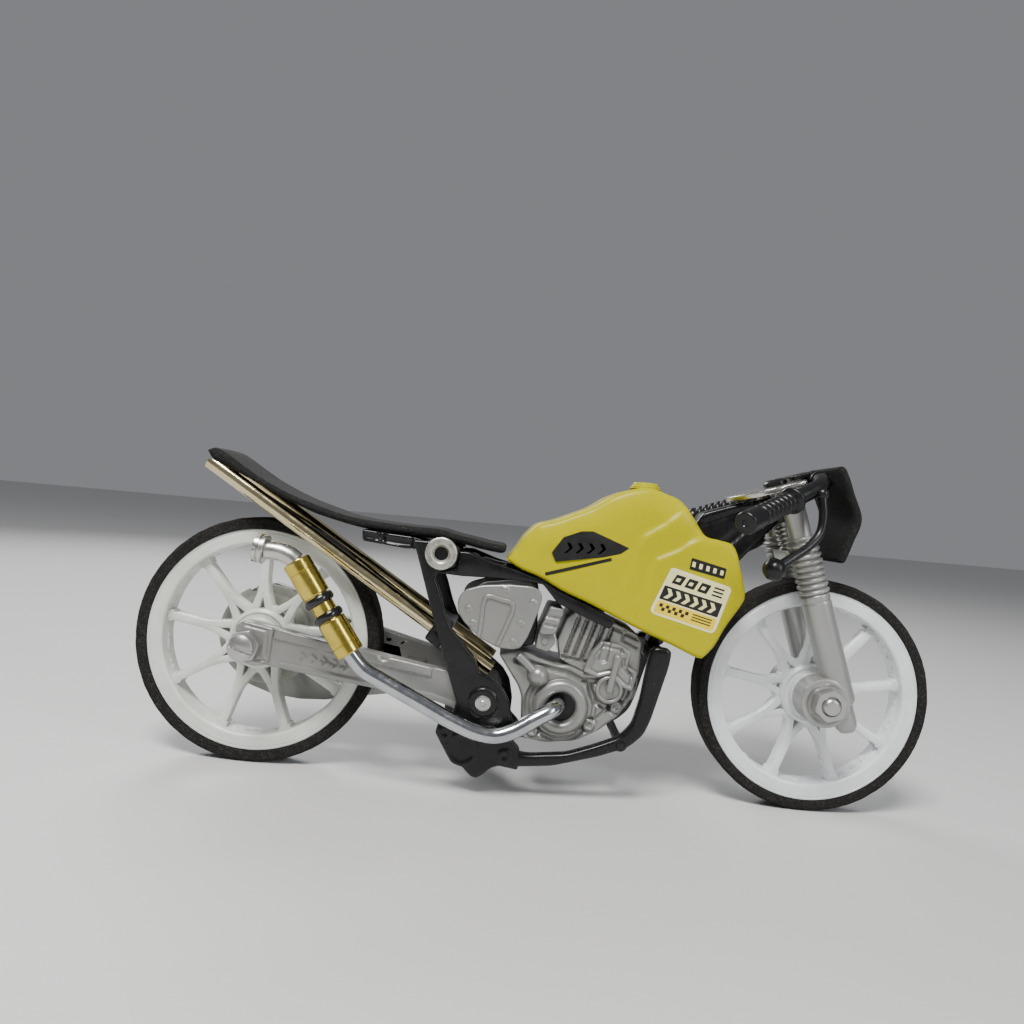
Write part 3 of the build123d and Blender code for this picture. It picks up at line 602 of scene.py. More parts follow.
def hexnut(x, z, af, y0, y1, bore, turn=0, m=0, side=-1):
    """Hexagon nut with eased corners; y0 is the outer face."""
    R = af / math.sqrt(3)
    out = M()
    rings = []
    for r, y in ((bore, y1), (R * 0.9, y1), (R, y1 + (y0 - y1) * 0.1), (R, y0 - (y0 - y1) * 0.12), (R * 0.935, y0), (bore + 0.4, y0), (bore + 0.3, y0 - (y0 - y1) * 0.04), (bore, y0 - (y0 - y1) * 0.14)):
        hexed = r > bore + 0.6
        row = []
        for k in range(24):
            a = math.radians(15 * k)
            if hexed:
                am = (math.degrees(a) % 60) - 30
                rr = r * math.cos(math.radians(30)) / math.cos(math.radians(am)) if r > R * 0.95 else min(r, R * math.cos(math.radians(30)) / math.cos(math.radians(am)) * 0.985)
            else:
                rr = r
            row.append((x + rr * math.cos(a + math.radians(turn)), y, z + rr * math.sin(a + math.radians(turn))))
        rings.append(row)
    v = [q for r in rings for q in r]
    f = []
    n = len(rings)
    for i in range(n):
        j = (i + 1) % n
        for k in range(24):
            k2 = (k + 1) % 24
            f.append((i * 24 + k, i * 24 + k2, j * 24 + k2, j * 24 + k))
    out.add(v, f, m)
    return orient(out)


def torus(c, d, R, r, m=0, segs=64, rs=16, squash=1.0):
    return lathe([(R + r * math.cos(2 * math.pi * k / rs), r * squash * math.sin(2 * math.pi * k / rs)) for k in range(rs)], c, d, segs, m, closed=True)

# ------------------------------------------------------------------ driving dimensions, millimetres
REAR_X, REAR_R, FRONT_X, FRONT_R = -54.5, 24.25, 55.85, 22.9
AX_X, AX_Z, RAKE = 52.83, 43.19, math.radians(18.55)
DX, DZ = math.sin(RAKE), -math.cos(RAKE)
ROT = {"right": -1, "left": 1}


def on_axis(s, a=0.0, y=0.0):
    return (AX_X + DX * s - DZ * a, y, AX_Z + DZ * s + DX * a)


def both(shape, name, mats, body, right, left, **kw):
    shape.make(name + "_r", mats, body, right, **kw)
    shape.flip().make(name + "_l", mats, body, left, **kw)


# ------------------------------------------------------------------ tyres: foam, squarish, with a worn grain


def tyre(cx, cz, ro, ri, name, body, node):
    h = 3.2
    prof = [(ri + 0.01, -h + 0.06), (ri + 0.35, -h + 0.01), (ro - 1.7, -h)]
    for t in range(0, 91, 15):
        prof.append((ro - 0.75 + 0.75 * math.sin(math.radians(t)), -h + 0.75 - 0.75 * math.cos(math.radians(t))))
    side = prof + [(r, -y) for r, y in reversed(prof)]
    mid = [(ro, y) for y in (-1.6, -0.8, 0, 0.8, 1.6)]
    full = prof + mid + [(r, -y) for r, y in reversed(prof)]
    dense = []
    for a, b in zip(full, full[1:]):
        k = max(1, int(math.dist(a, b) / 0.33))
        dense += [(a[0] + (b[0] - a[0]) * i / k, a[1] + (b[1] - a[1]) * i / k) for i in range(k)]
    dense.append(full[-1])
    s = M()
    n = 360
    rows = len(dense)
    u = npr.rand(n, rows)
    for _ in range(2):
        u = (u + np.roll(u, 1, 0) + np.roll(u, 1, 1) + np.roll(u, -1, 0)) / 4
    u = (u - u.mean()) / u.std()
    pits = np.clip(npr.rand(n, rows) - 0.955, 0, 1) / 0.045
    v = []
    for k in range(n):
        a = 2 * math.pi * k / n
        for j, (r, y) in enumerate(dense):
            w = 1.0 if 2 < j < rows - 3 else 0.0
            d = w * (0.022 * float(u[k, j]) - 0.05 - 0.09 * float(pits[k, j]))
            side_ = abs(y) > h - 0.05 and r < ro - 0.9
            rr, yy = (r, y + (d if y < 0 else -d) * -1) if side_ else (r + d, y)
            if side_:
                yy = y - math.copysign(abs(d), y)
            v.append((cx + rr * math.cos(a), yy, cz + rr * math.sin(a)))
    f = []
    for k in range(n):
        k2 = (k + 1) % n
        for j in range(rows - 1):
            f.append((k * rows + j, k * rows + j + 1, k2 * rows + j + 1, k2 * rows + j))
        f.append((k * rows + rows - 1, k * rows, k2 * rows, k2 * rows + rows - 1))
    s.add(v, f)
    o = orient(s).make(name, [FOAM], body, [node], angle=60)
    return o


tyre(REAR_X, REAR_R, REAR_R, 21.9, "tyre_foam_rear", "rear_wheel", "rear_tyre")
tyre(FRONT_X, FRONT_R, FRONT_R, 20.8, "tyre_foam_front", "front_wheel", "front_tyre")

# ------------------------------------------------------------------ rims


def bar2(p, q, w0, w1, y, edge=0.22, crown=0.35, m=0, n=10):
    """A spoke arm with a softly crowned face on both sides."""
    s = M()
    d = Vector((q[0] - p[0], q[1] - p[1]))
    L = d.length
    d /= L
    nn = Vector((-d.y, d.x))
    sec = []
    for sg in (-1, 1):
        pts = [(-1, y - edge * 0.9), (-0.93, y - edge * 0.3), (-0.78, y), (0, y + crown * 0.18), (0.78, y), (0.93, y - edge * 0.3), (1, y - edge * 0.9)]
        sec += [(a * 1.0, -b) for a, b in pts] if sg < 0 else [(a, b) for a, b in reversed(pts)]
    rows = []
    v = []
    for i in range(n + 1):
        t = i / n
        w = w0 + (w1 - w0) * t
        c = Vector(p) + d * L * t
        row = []
        for a, yy in sec:
            row.append(len(v))
            v.append((c.x + nn.x * a * w, yy, c.y + nn.y * a * w))
        rows.append(row)
    f = []
    k = len(sec)
    for a, b in zip(rows, rows[1:]):
        for i in range(k):
            j = (i + 1) % k
            f.append((a[i], a[j], b[j], b[i]))
    f += [tuple(rows[0]), tuple(reversed(rows[-1]))]
    s.add(v, f, m)
    return orient(s)


def rim(cx, cz, ro, ri, rf, rh, phase, name, body, node, mt, boss):
    s = M()
    h = 2.95
    # flat-faced ring, bevelled inside, with a fine step before the bead seat
    prof = [(ri, -2.3), (ri + 0.08, -2.62), (ri + 0.34, -2.86), (ri + 0.5, -2.92), (ri + 1.0, -2.94), (ro - 0.75, -2.95), (ro - 0.62, -2.86), (ro - 0.5, -2.86), (ro - 0.42, -h), (ro - 0.12, -h + 0.04), (ro - 0.005, -h + 0.2)]
    prof += [(r, -y) for r, y in reversed(prof)]
    s.join(lathe(prof, (cx, 0, cz), (0, 1, 0), 240, 0, closed=True, jit=0.012))
    for k in range(9):
        a = math.radians(phase + 40 * k)

        def P(r, off):
            t = a + math.radians(off)
            return (cx + r * math.cos(t), cz + r * math.sin(t))

        s.join(bar2(P(ri + 0.55, 0), P(rf - 0.1, 0), 0.84, 0.78, 1.46))
        # square collar at the rim, with a pad on each face
        s.join(bar2(P(ri + 0.4, 0), P(ri - 1.0, 0), 1.2, 1.12, 1.5, crown=0.0, n=3))
        s.join(bar2(P(ri + 0.3, 0), P(ri - 0.45, 0), 0.85, 0.8, 1.62, crown=0.0, n=2))
        # tapered boss where the arms divide
        s.join(bar2(P(rf + 1.0, 0), P(rf - 1.3, 0), 0.78, 1.15, 1.45, n=6))
        for off in (17.0, -17.0):
            s.join(bar2(P(rf, 0), P(rh - 0.4, off), 0.66, 0.78, 1.43, n=8))
        # thin web that closes the foot of each fork
        s.join(bar2(P(rh + 0.5, 17.0), P(rh + 0.5, 23.0), 0.5, 0.5, 1.3, crown=0.1, n=2))
    for k in range(46):
        t = rng.uniform(0, 2 * math.pi)
        w_ = rng.uniform(0.012, 0.045)
        rr = ri - rng.uniform(0.05, 0.22)
        s.join(bar2((cx + (ri + 0.2) * math.cos(t - w_), cz + (ri + 0.2) * math.sin(t - w_)), (cx + rr * math.cos(t + w_ * 0.3), cz + rr * math.sin(t + w_ * 0.3)), w_ * ri * 0.8, 0.07, 0.12 + rng.uniform(0, 0.15), edge=0.05, crown=0.0, n=2))
    hub = [(1.58, -boss[1] + 0.12), (1.75, -boss[1])]
    hub += [(boss[0] - 0.35, -boss[1]), (boss[0] - 0.1, -boss[1] + 0.1), (boss[0], -boss[1] + 0.35), (boss[0], -2.35), (boss[0] + 0.25, -2.2), (rh - 0.3, -2.18), (rh, -1.95), (rh + 0.12, -1.2)]
    hub += [(r, -y) for r, y in reversed(hub)]
    s.join(lathe(hub, (cx, 0, cz), (0, 1, 0), 96, 0, closed=True))
    # a bead round the hub face
    for sg in (-1, 1):
        s.join(torus((cx, sg * 2.18, cz), (0, 1, 0), rh - 0.55, 0.22, 0, 96, 10))
    o = s.make(name, [mt], body, [node], weld=0, angle=30)
    return o


rim(REAR_X, REAR_R, 21.9, 18.9, 10.7, 5.9, 10.5, "rim_rear_shaped", "rear_wheel", "rear_rim", WHITE_R, (4.0, 5.9))
rim(FRONT_X, FRONT_R, 20.8, 17.7, 9.9, 5.9, 10.0, "rim_front_shaped", "front_wheel", "front_rim", WHITE_F, (4.6, 4.0))

# plain disc beside the wheel, with a low ring and two notches; its milky colour is darkened as painted shade behind the
# spokes
edge_ = []
for k in range(180):
    r = 10.18
    if k % 90 in (53, 54, 55, 56):
        r = 9.3
    t = math.radians(2 * k + 4)
    edge_.append((REAR_X + r * math.cos(t), REAR_R + r * math.sin(t)))


def disc_h(x, z):
    r_ = disc(x, z, REAR_X, REAR_R)
    k = -0.22 * step(0.3 - np.abs(r_ - 8.6), 0.35) - 0.2 * step(0.35 - np.abs(r_ - 5.6), 0.4)
    return k


d = plate(edge_, 4.02, 5.18, edge=0.15, holes=[(REAR_X, REAR_R, 4.05)], corner=0.05, raw=True, seg=1.0, h=disc_h, grid=0.4)
d.make("disc_moulded", [DISC_SHADED_M], "rear_wheel", ["rear_disc"], angle=50)

# ------------------------------------------------------------------ swinging arm
ARM = [(-57.0, 27.7), (-55.3, 28.9), (-49.8, 28.0), (-44.9, 27.1), (-40.8, 26.4), (-32.0, 25.2), (-25.3, 24.1), (-16.0, 22.6), (-10.5, 20.8), (-8.8, 20.9), (-6.5, 19.9), (-5.5, 17.6), (-6.5, 15.2), (-8.8, 14.3), (-13.0, 15.2), (-17.9, 16.6), (-37.4, 18.9), (-44.3, 19.7), (-51.2, 20.7), (-56.3, 21.0), (-57.3, 22.7)]
RIB = [(-49.3, 28.0), (-40.3, 26.3), (-32.0, 25.0), (-19.0, 23.0), (-19.0, 21.2), (-32.0, 23.1), (-40.2, 24.5), (-49.6, 25.8)]
HEEL = [(-56.8, 27.6), (-55.3, 28.8), (-49.6, 27.9), (-50.0, 21.4), (-51.2, 20.9), (-56.2, 21.2), (-57.1, 22.7)]
CLIP = [(-40.2, 24.2), (-33.4, 23.0), (-33.2, 22.3), (-36.5, 21.6), (-40.4, 22.4)]


def arm_h(x, z):
    k = np.maximum(0.42 * step(sd(x, z, RIB), 0.3), 0.62 * step(sd(x, z, HEEL), 0.34))
    k = k - 0.22 * step(0.2 - np.abs(sd(x, z, RIB) + 0.35), 0.22) * (sd(x, z, HEEL) < -0.3)
    k = k + 0.16 * step(2.0 - np.abs(sd(x, z, HEEL) - 2.4), 0.5)
    k = np.maximum(k, 0.2 * step(0.4 - dline(x, z, [(-48.0, 21.0), (-37.4, 19.7), (-18.5, 17.5), (-13.2, 16.0)]), 0.35))
    # small bars and chevrons standing for the raised marks
    for i in range(5):
        x0 = -44.0 + 2.1 * i
        z0 = 22.75 - 0.3 * i
        k = np.maximum(k, 0.2 * step(0.22 - dline(x, z, [(x0, z0 + 0.75), (x0 + 0.75, z0), (x0, z0 - 0.7)]), 0.25))
    k = np.maximum(k, 0.22 * step(0.3 - np.abs(disc(x, z, -28.3, 24.6) - 1.55), 0.3))
    k = k - 0.32 * step(1.15 - disc(x, z, -28.3, 24.6), 0.4) - 0.22 * step(sd(x, z, CLIP), 0.4)
    k = k - 0.28 * step(0.24 - dline(x, z, [(-56.4, 23.0), (-55.9, 21.9), (-50.9, 21.7)]), 0.25) - 0.28 * step(0.24 - dline(x, z, [(-56.2, 27.3), (-55.2, 28.1), (-50.6, 27.3), (-50.7, 22.4)]), 0.25)
    return k


arm = plate(ARM, -8.6, -6.2, edge=0.35, holes=[(REAR_X, REAR_R, 1.52), (-8.8, 17.6, 1.56)], h=arm_h, grid=0.22)
arm.make("arm_right_moulded", [GREY], "swingarm", ["swingarm_right"], angle=50)
CASE = [(-62.5, 29.0), (-59.0, 33.2), (-54.5, 34.7), (-50.0, 33.4), (-46.0, 30.6), (-40.8, 28.9), (-32.0, 27.3), (-25.3, 25.6), (-16.0, 23.4), (-10.5, 20.9), (-8.8, 20.9), (-6.5, 19.9), (-5.5, 17.6), (-6.5, 15.2), (-8.8, 14.3), (-13.0, 14.6), (-20.0, 14.9), (-30.0, 13.4), (-38.0, 12.0), (-42.0, 11.1), (-47.5, 10.8), (-53.5, 11.4), (-59.0, 13.2), (-63.0, 17.5), (-64.3, 23.5)]


def case_h(x, z):
    d_ = sd(x, z, ccw(CASE))
    k = 0.0 * x
    k = np.maximum(k, -0.22 * step(d_ - 1.1, 0.4) + 0.22 * step(d_ - 2.0, 0.4)) * 1.0
    k = k - 0.2 * step(0.3 - np.abs(d_ - 1.6), 0.3)
    k = np.where(disc(x, z, REAR_X, REAR_R) < 6.5, 0.0, k)
    return k


arm_l = plate([(x, z) for x, z in CASE], -8.6, -6.2, edge=0.35, holes=[(REAR_X, REAR_R, 1.52), (-8.8, 17.6, 1.56), [(-31.5, 25.3), (-27.5, 24.7), (-27.5, 23.8), (-31.5, 24.4)]], h=case_h, grid=0.45).flip()
arm_l.join(plate([(-25.5, 22.2), (-21.5, 21.6), (-21.5, 17.6), (-25.5, 18.0)], -6.2, 6.2, edge=0.3))
arm_l.make("arm_left_moulded", [GREY], "swingarm", ["swingarm_left"], weld=0, angle=50)

# nuts, bolt and axle
hexnut(REAR_X, REAR_R, 5.5, -11.2, -9.0, 1.51, 12).make("nut_rear_r", [STEEL], "swingarm", ["rear_nut_right"], angle=30)
hexnut(REAR_X, REAR_R, 5.5, 11.2, 8.6, 1.51, 12).make("nut_rear_l", [STEEL], "swingarm", ["rear_nut_left"], angle=30)
ax = lathe([(0, -11.2), (2.36, -11.2), (2.4, -11.28), (2.4, -12.35), (2.3, -12.72), (2.05, -13.05), (1.7, -13.3), (1.3, -13.45), (0, -13.5)], (REAR_X, 0, REAR_R), (0, 1, 0), 64)


def slot_head(s):
    # cut a driver slot into the domed head
    out = M()
    out.v = []
    for x, y, z in s.v:
        if y < -13.0 and abs(z - REAR_R - 0.0) < 0.42:
            y += 0.45
        out.v.append((x, y, z))
    out.f, out.m = s.f, s.m
    return out


dome = M()
nr, na = 16, 96
rows = []
v = []
for j in range(nr + 1):
    r = 2.4 * j / nr
    row = []
    for k in range(na):
        a = 2 * math.pi * k / na
        x, z = r * math.cos(a), r * math.sin(a)
        top = -13.5 + 0.62 * (r / 2.4) ** 2.4
        zz = x * math.sin(math.radians(20)) + z * math.cos(math.radians(20))
        cut = 0.5 * float(step(0.34 - abs(zz), 0.12))
        row.append(len(v))
        v.append((REAR_X + x, min(top + cut, -12.4), REAR_R + z))
    rows.append(row)
f = []
for a_, b_ in zip(rows, rows[1:]):
    for k in range(na):
        k2 = (k + 1) % na
        f.append((a_[k], a_[k2], b_[k2], b_[k]))
skirt = []
for k in range(na):
    a = 2 * math.pi * k / na
    skirt.append(len(v))
    v.append((REAR_X + 2.4 * math.cos(a), -11.22, REAR_R + 2.4 * math.sin(a)))
for k in range(na):
    k2 = (k + 1) % na
    f.append((rows[-1][k], rows[-1][k2], skirt[k2], skirt[k]))
f.append(tuple(skirt))
dome.add(v, f)
dome = weld(dome)
# threaded shaft
thread = []
y = -11.2
while y < 11.1:
    thread += [(1.5, y), (1.36, y + 0.2), (1.5, y + 0.4)]
    y += 0.44
thread = [(0, -11.2)] + [(r, t) for r, t in thread if t < 11.15] + [(1.35, 11.2), (0, 11.2)]
dome.join(lathe(thread, (REAR_X, 0, REAR_R), (0, 1, 0), 40))
dome.make("axle_rear_slotted", [STEEL], "swingarm", ["rear_axle"], weld=0, angle=35)

# ------------------------------------------------------------------ frame plates
PLATE = [(-24.6, 47.0), (-23.6, 44.4), (-19.8, 33.3), (-15.3, 21.1), (-13.8, 17.2), (-14.6, 14.6), (-17.0, 12.8), (-17.3, 11.2), (-16.4, 9.8), (-15.0, 7.6), (-13.7, 5.8), (-11.7, 5.2), (-10.0, 3.6), (-8.9, 3.3), (-7.8, 4.0), (-6.4, 5.4), (-4.9, 6.0), (-1.9, 5.5), (-1.9, 9.6), (-3.1, 11.4), (-3.0, 14.5), (-3.9, 18.3), (-5.5, 20.6), (-7.7, 22.3), (-9.9, 23.3), (-11.2, 26.0), (-13.1, 27.9), (-16.1, 31.2), (-17.5, 34.2), (-18.9, 38.2), (-20.0, 40.6), (-19.0, 41.4), (-16.2, 42.5), (-15.6, 46.2), (-17.0, 47.0)]
LOWER = [(-17.0, 12.8), (-17.3, 11.2), (-16.4, 9.8), (-15.0, 7.6), (-13.7, 5.8), (-11.7, 5.2), (-10.0, 3.6), (-8.9, 3.3), (-7.8, 4.0), (-6.4, 5.4), (-4.9, 6.0), (-1.9, 5.5), (-1.9, 9.6), (-3.1, 11.4), (-7.0, 12.6), (-12.0, 13.4)]


def plate_h(x, z):
    k = 0.38 * step(2.75 - disc(x, z, -8.8, 17.6), 0.3)
    k = np.maximum(k, 0.28 * step(1.3 - disc(x, z, -15.4, 11.4), 0.3))
    k = np.maximum(k, 0.28 * step(1.3 - disc(x, z, -3.9, 8.0), 0.3))
    k = k - 0.2 * step(0.5 - disc(x, z, -15.4, 11.4), 0.2) - 0.2 * step(0.5 - disc(x, z, -3.9, 8.0), 0.2)
    k = np.maximum(k, 0.2 * step(0.45 - np.abs(disc(x, z, -12.0, 8.6) - 2.75), 0.3))
    k = k - 0.85 * step(2.25 - disc(x, z, -12.0, 8.6), 0.3)
    # sunk panel along the post
    k = k - 0.25 * step(0.55 - dline(x, z, [(-21.2, 38.5), (-17.2, 29.0), (-14.0, 22.8)]), 0.35)
    k = np.maximum(k, 0.16 * step(0.25 - dline(x, z, [(-14.3, 14.5), (-9.0, 13.0), (-3.6, 12.6)]), 0.3))
    return k


PLATE_V = [((-1.2, z) if x == -1.9 else (x, z)) for x, z in PLATE]
fp = plate(PLATE_V, -10.6, -8.9, edge=0.4, holes=[(-19.0, 44.9, 2.4), (-8.8, 17.6, 1.5)], h=plate_h, grid=0.28)
RAIL = [(-19.0, 41.0), (-15.0, 40.8), (-8.0, 41.0), (0.6, 40.6), (3.6, 37.3), (9.0, 35.0), (14.0, 33.2), (15.0, 34.9), (10.2, 37.0), (4.0, 39.4), (0.0, 41.4), (-4.3, 42.8), (-9.0, 43.9), (-13.9, 45.5), (-16.2, 45.5), (-16.2, 42.5), (-19.0, 41.5)]
fp.join(plate(RAIL, -8.9, -6.7, edge=0.35, corner=0.4))
fr = M().join(fp)
fl = fp.flip()
fr.make("post_right", [BLACK], "frame", ["frame_plate_right"], weld=0, angle=48)
fl.join(lathe([(0, -8.9), (1.6, -8.9), (1.6, 8.9), (0, 8.9)], (-8.9, 0, 7.6), (0, 1, 0), 40))
fl.join(lathe([(0, -6.7), (1.5, -6.7), (1.5, 6.7), (0, 6.7)], (-13.4, 0, 43.2), (0, 1, 0), 40))
fl.make("post_left", [BLACK], "frame", ["frame_plate_left"], weld=0, angle=48)

for sg, nm in ((-1, "right"), (1, "left")):
    pr = [(1.3, 8.9), (2.38, 8.9), (2.38, 10.6), (3.0, 10.62), (3.05, 10.7), (3.05, 11.6), (2.98, 11.85), (2.75, 11.99), (2.0, 12.0), (1.75, 11.93), (1.55, 11.7), (1.3, 11.4)]
    b = lathe(pr, (-19.0, 0, 44.9), (0, sg, 0), 72, closed=True)
    b.make("bush_" + nm, [BUSH], "frame", ["eye_bush_" + nm], angle=35)
pin = [(0, -11.4), (0.45, -11.4), (0.6, -11.28), (1.25, -11.3), (1.45, -11.2), (1.5, -11.0), (1.5, 11.0), (1.45, 11.2), (1.25, 11.3), (0.6, 11.28), (0.45, 11.4), (0, 11.4)]
lathe(pin, (-8.8, 0, 17.6), (0, 1, 0), 48).make("pin_headed", [STEEL], "frame", ["pivot_pin"], angle=35)

CRADLE = [(25.9, 30.6), (25.6, 27.4), (24.1, 21.5), (23.0, 17.0), (21.8, 14.0), (19.2, 11.5), (13.6, 9.3), (5.1, 6.8), (-1.9, 5.5), (-1.9, 9.6), (0.1, 8.5), (7.8, 9.4), (13.1, 11.4), (17.4, 13.3), (19.5, 15.9), (20.7, 21.0), (21.5, 27.8), (22.2, 30.9)]
MID = [(23.9, 29.5), (23.3, 25.0), (22.2, 20.0), (20.9, 15.4), (18.2, 12.4), (13.2, 10.4), (6.5, 8.1), (-1.0, 7.2)]


def cradle_h(x, z):
    t = np.clip(dline(x, z, MID) / 2.0, 0, 1)
    return -0.30 * t**2


CRADLE_V = [((-3.4, 5.9) if (x, z) == (-1.9, 5.5) else (-3.4, 9.2) if (x, z) == (-1.9, 9.6) else (x, z)) for x, z in CRADLE]
cr = plate(CRADLE_V, -10.6, -8.2, edge=0.5, holes=[(17.65, 11.9, 0.9)], h=cradle_h, grid=0.4, corner=1.2)
cr.make("cradle_r", [BLACK], "frame", ["cradle_right"], weld=0, angle=60)
cl = cr.flip()
cl.join(plate([(21.9, 30.2), (25.3, 30.0), (25.0, 27.6), (21.7, 27.8)], -8.2, 8.2, edge=0.3))
cl.make("cradle_l", [BLACK], "frame", ["cradle_left"], weld=0, angle=60)
bolt = [(0, -10.9), (0.5, -10.9), (0.78, -10.82), (0.9, -10.65), (0.9, 10.65), (0.78, 10.82), (0.5, 10.9), (0, 10.9)]
lathe(bolt, (17.65, 0, 11.9), (0, 1, 0), 32).make("bolt_cradle", [BLACK2], "frame", ["cradle_bolt"])

# ------------------------------------------------------------------ seat: thin strip of foam
TOPS = [(-65.7, 60.9), (-64.2, 61.3), (-58.3, 58.0), (-55.2, 56.2), (-49.0, 53.5), (-42.9, 51.65), (-38.4, 50.5), (-30.9, 49.75), (-25.0, 49.5), (-20.0, 49.4), (-17.3, 48.8), (-13.6, 48.2), (-10.0, 47.6), (-6.9, 47.3)]
BOTS = [(-65.6, 60.1), (-64.6, 58.9), (-61.2, 57.4), (-55.05, 54.7), (-48.9, 52.0), (-44.3, 50.3), (-39.8, 49.2), (-35.25, 48.3), (-30.8, 47.9), (-24.8, 47.6), (-16.4, 47.0), (-11.3, 46.1), (-7.1, 45.6)]


def along(pts, n):
    c = [Vector((x, z)) for x, z in pts]
    c = catmull([(q.x, 0, q.y) for q in c], 8)
    L = [0]
    for a, b in zip(c, c[1:]):
        L.append(L[-1] + (b - a).length)
    xs = np.interp(np.linspace(0, L[-1], n), L, [q.x for q in c])
    zs = np.interp(np.linspace(0, L[-1], n), L, [q.z for q in c])
    return list(zip(xs, zs))


NS = 190
tp, bt = along(TOPS, NS), along(BOTS, NS)
W = 7.6
cross = []
for k in range(40):
    y_ = -W + 2 * W * k / 39
    cross.append(y_)
seat = M()
v, rows = [], []
for i in range(NS):
    (xt, zt), (xb, zb) = tp[i], bt[i]
    endk = min(i, NS - 1 - i) / 4
    round_ = 1.0 if endk >= 1 else math.sqrt(max(1 - (1 - endk) ** 2, 0.0)) * 0.75 + 0.25
    cx_, cz_ = (xt + xb) / 2, (zt + zb) / 2
    row = []
    ring = []
    for y_ in cross:
        e = min(abs(abs(y_) - W), 0.9) / 0.9
        crown = math.sqrt(max(1 - (1 - e) ** 2, 0)) * (0.86 + 0.14 * math.cos(y_ / W * math.pi / 2))
        ring.append((y_, 1, 0.18 + 0.82 * crown))
    for y_ in reversed(cross):
        e = min(abs(abs(y_) - W), 0.7) / 0.7
        ring.append((y_, -1, 0.25 + 0.75 * math.sqrt(max(1 - (1 - e) ** 2, 0))))
    for y_, sg, h in ring:
        k = h * round_
        hx, hz = ((xt - cx_), (zt - cz_)) if sg > 0 else ((xb - cx_), (zb - cz_))
        g = rng.uniform(-0.05, 0.0) if 0.2 < abs(h) else 0
        row.append(len(v))
        v.append((cx_ + hx * k + g * 0.2, y_ * (1 - 0.004 * rng.random()), cz_ + hz * (k - 0.03 * rng.random())))
    rows.append(row)
f = []
n = len(rows[0])
for a_, b_ in zip(rows, rows[1:]):
    for k in range(n):
        k2 = (k + 1) % n
        f.append((a_[k], a_[k2], b_[k2], b_[k]))
f += [tuple(rows[0]), tuple(reversed(rows[-1]))]
seat.add(v, f)
so = orient(seat).make("seat_foam_strip", [SEATM], "frame", ["seat_pad"], angle=75)

TRAY = [(-34.6, 48.1), (-34.4, 45.9), (-26.3, 45.1), (-24.2, 45.2), (-21.9, 45.8), (-22.4, 47.3), (-24.8, 47.5), (-30.8, 47.8)]


def tray_h(x, z):
    k = -0.35 * step(0.4 - dline(x, z, [(-33.5, 46.9), (-28.0, 46.2), (-25.4, 46.2)]), 0.4)
    k = k - 0.5 * step(0.45 - dline(x, z, [(-30.9, 48.6), (-30.4, 44.8)]), 0.3)
    return k


TRF = [(-34.6, 48.1), (-34.4, 45.9), (-26.3, 45.1), (-24.75, 45.15), (-24.75, 47.5), (-30.8, 47.8)]
tr = plate(TRF, -8.8, 8.8, edge=0.35, h=tray_h, grid=0.35, corner=0.45)
tr.join(plate([(-24.8, 45.1), (-24.2, 45.2), (-22.1, 45.75), (-22.45, 46.9), (-24.8, 47.45)], -8.88, 8.88, edge=0.2, corner=0.3))
tr.make("tray_under_seat", [BLACK], "frame", ["seat_tray"], weld=0, angle=50)

# rods: thin bright tubes with dull cut ends
R0, R1 = Vector((-65.4, 0, 58.53)), Vector((-7.9, 0, 23.38))
RD = (R1 - R0).normalized()
above = [(-64.6, 58.9), (-61.2, 57.4), (-55.05, 54.7), (-48.9, 52.0), (-44.3, 50.3), (-39.8, 49.2)]


def zlow(x):
    return float(np.interp(x, [p[0] for p in above], [p[1] for p in above]))


for sg, nm in ((-1, "right"), (1, "left")):
    v, rows = [], []
    segs = 48
    u_, w_, d_ = basis(RD)
    for r, far in ((1.4, False), (1.4, True), (1.0, True), (1.0, False)):
        row = []
        for k in range(segs):
            a = 2 * math.pi * k / segs
            off = u_ * math.cos(a) * r + w_ * math.sin(a) * r
            c = (R1 - RD * 0.001) if far else R0 + RD * 0.0
            c = Vector((c.x, sg * 6.5, c.z)) + off
            if not far:
                # slide along the rod until it clears the foam
                t = 0.0
                while t < 14 and (c + RD * t).z > zlow((c + RD * t).x) - 0.02:
                    t += 0.05
                c = c + RD * t
            row.append(len(v))
            v.append(tuple(c))
        rows.append(row)
    f = []
    mi = []
    for i in range(4):
        a_, b_ = rows[i], rows[(i + 1) % 4]
        for k in range(segs):
            k2 = (k + 1) % segs
            f.append((a_[k], a_[k2], b_[k2], b_[k]))
            mi.append(1 if i in (1, 3) else 0)
    s = M()
    s.add(v, f)
    s.m = mi
    s = orient(s)
    s.make("rod_" + nm, [GOLD, CREAM], "frame", ["seat_rod_" + nm], angle=40)

ux, uz = 0.8532, -0.5216
bx, bz = -18.3, 29.74
BR = [(bx + ux * a - uz * b, bz + uz * a + ux * b) for a, b in ((-1.7, -2.6), (1.7, -2.6), (1.7, 2.2), (-1.7, 2.2))]
br = plate(BR, -8.88, 8.88, edge=0.4, corner=0.6, h=lambda x, z: -0.15 * step(0.4 - dline(x, z, [(bx - 0.8 * ux, bz - 0.8 * uz), (bx + 0.8 * ux, bz + 0.8 * uz)]), 0.3), grid=0.4)
br.make("bridge_block", [BLACK], "frame", ["rod_bridge"], weld=0, angle=50)

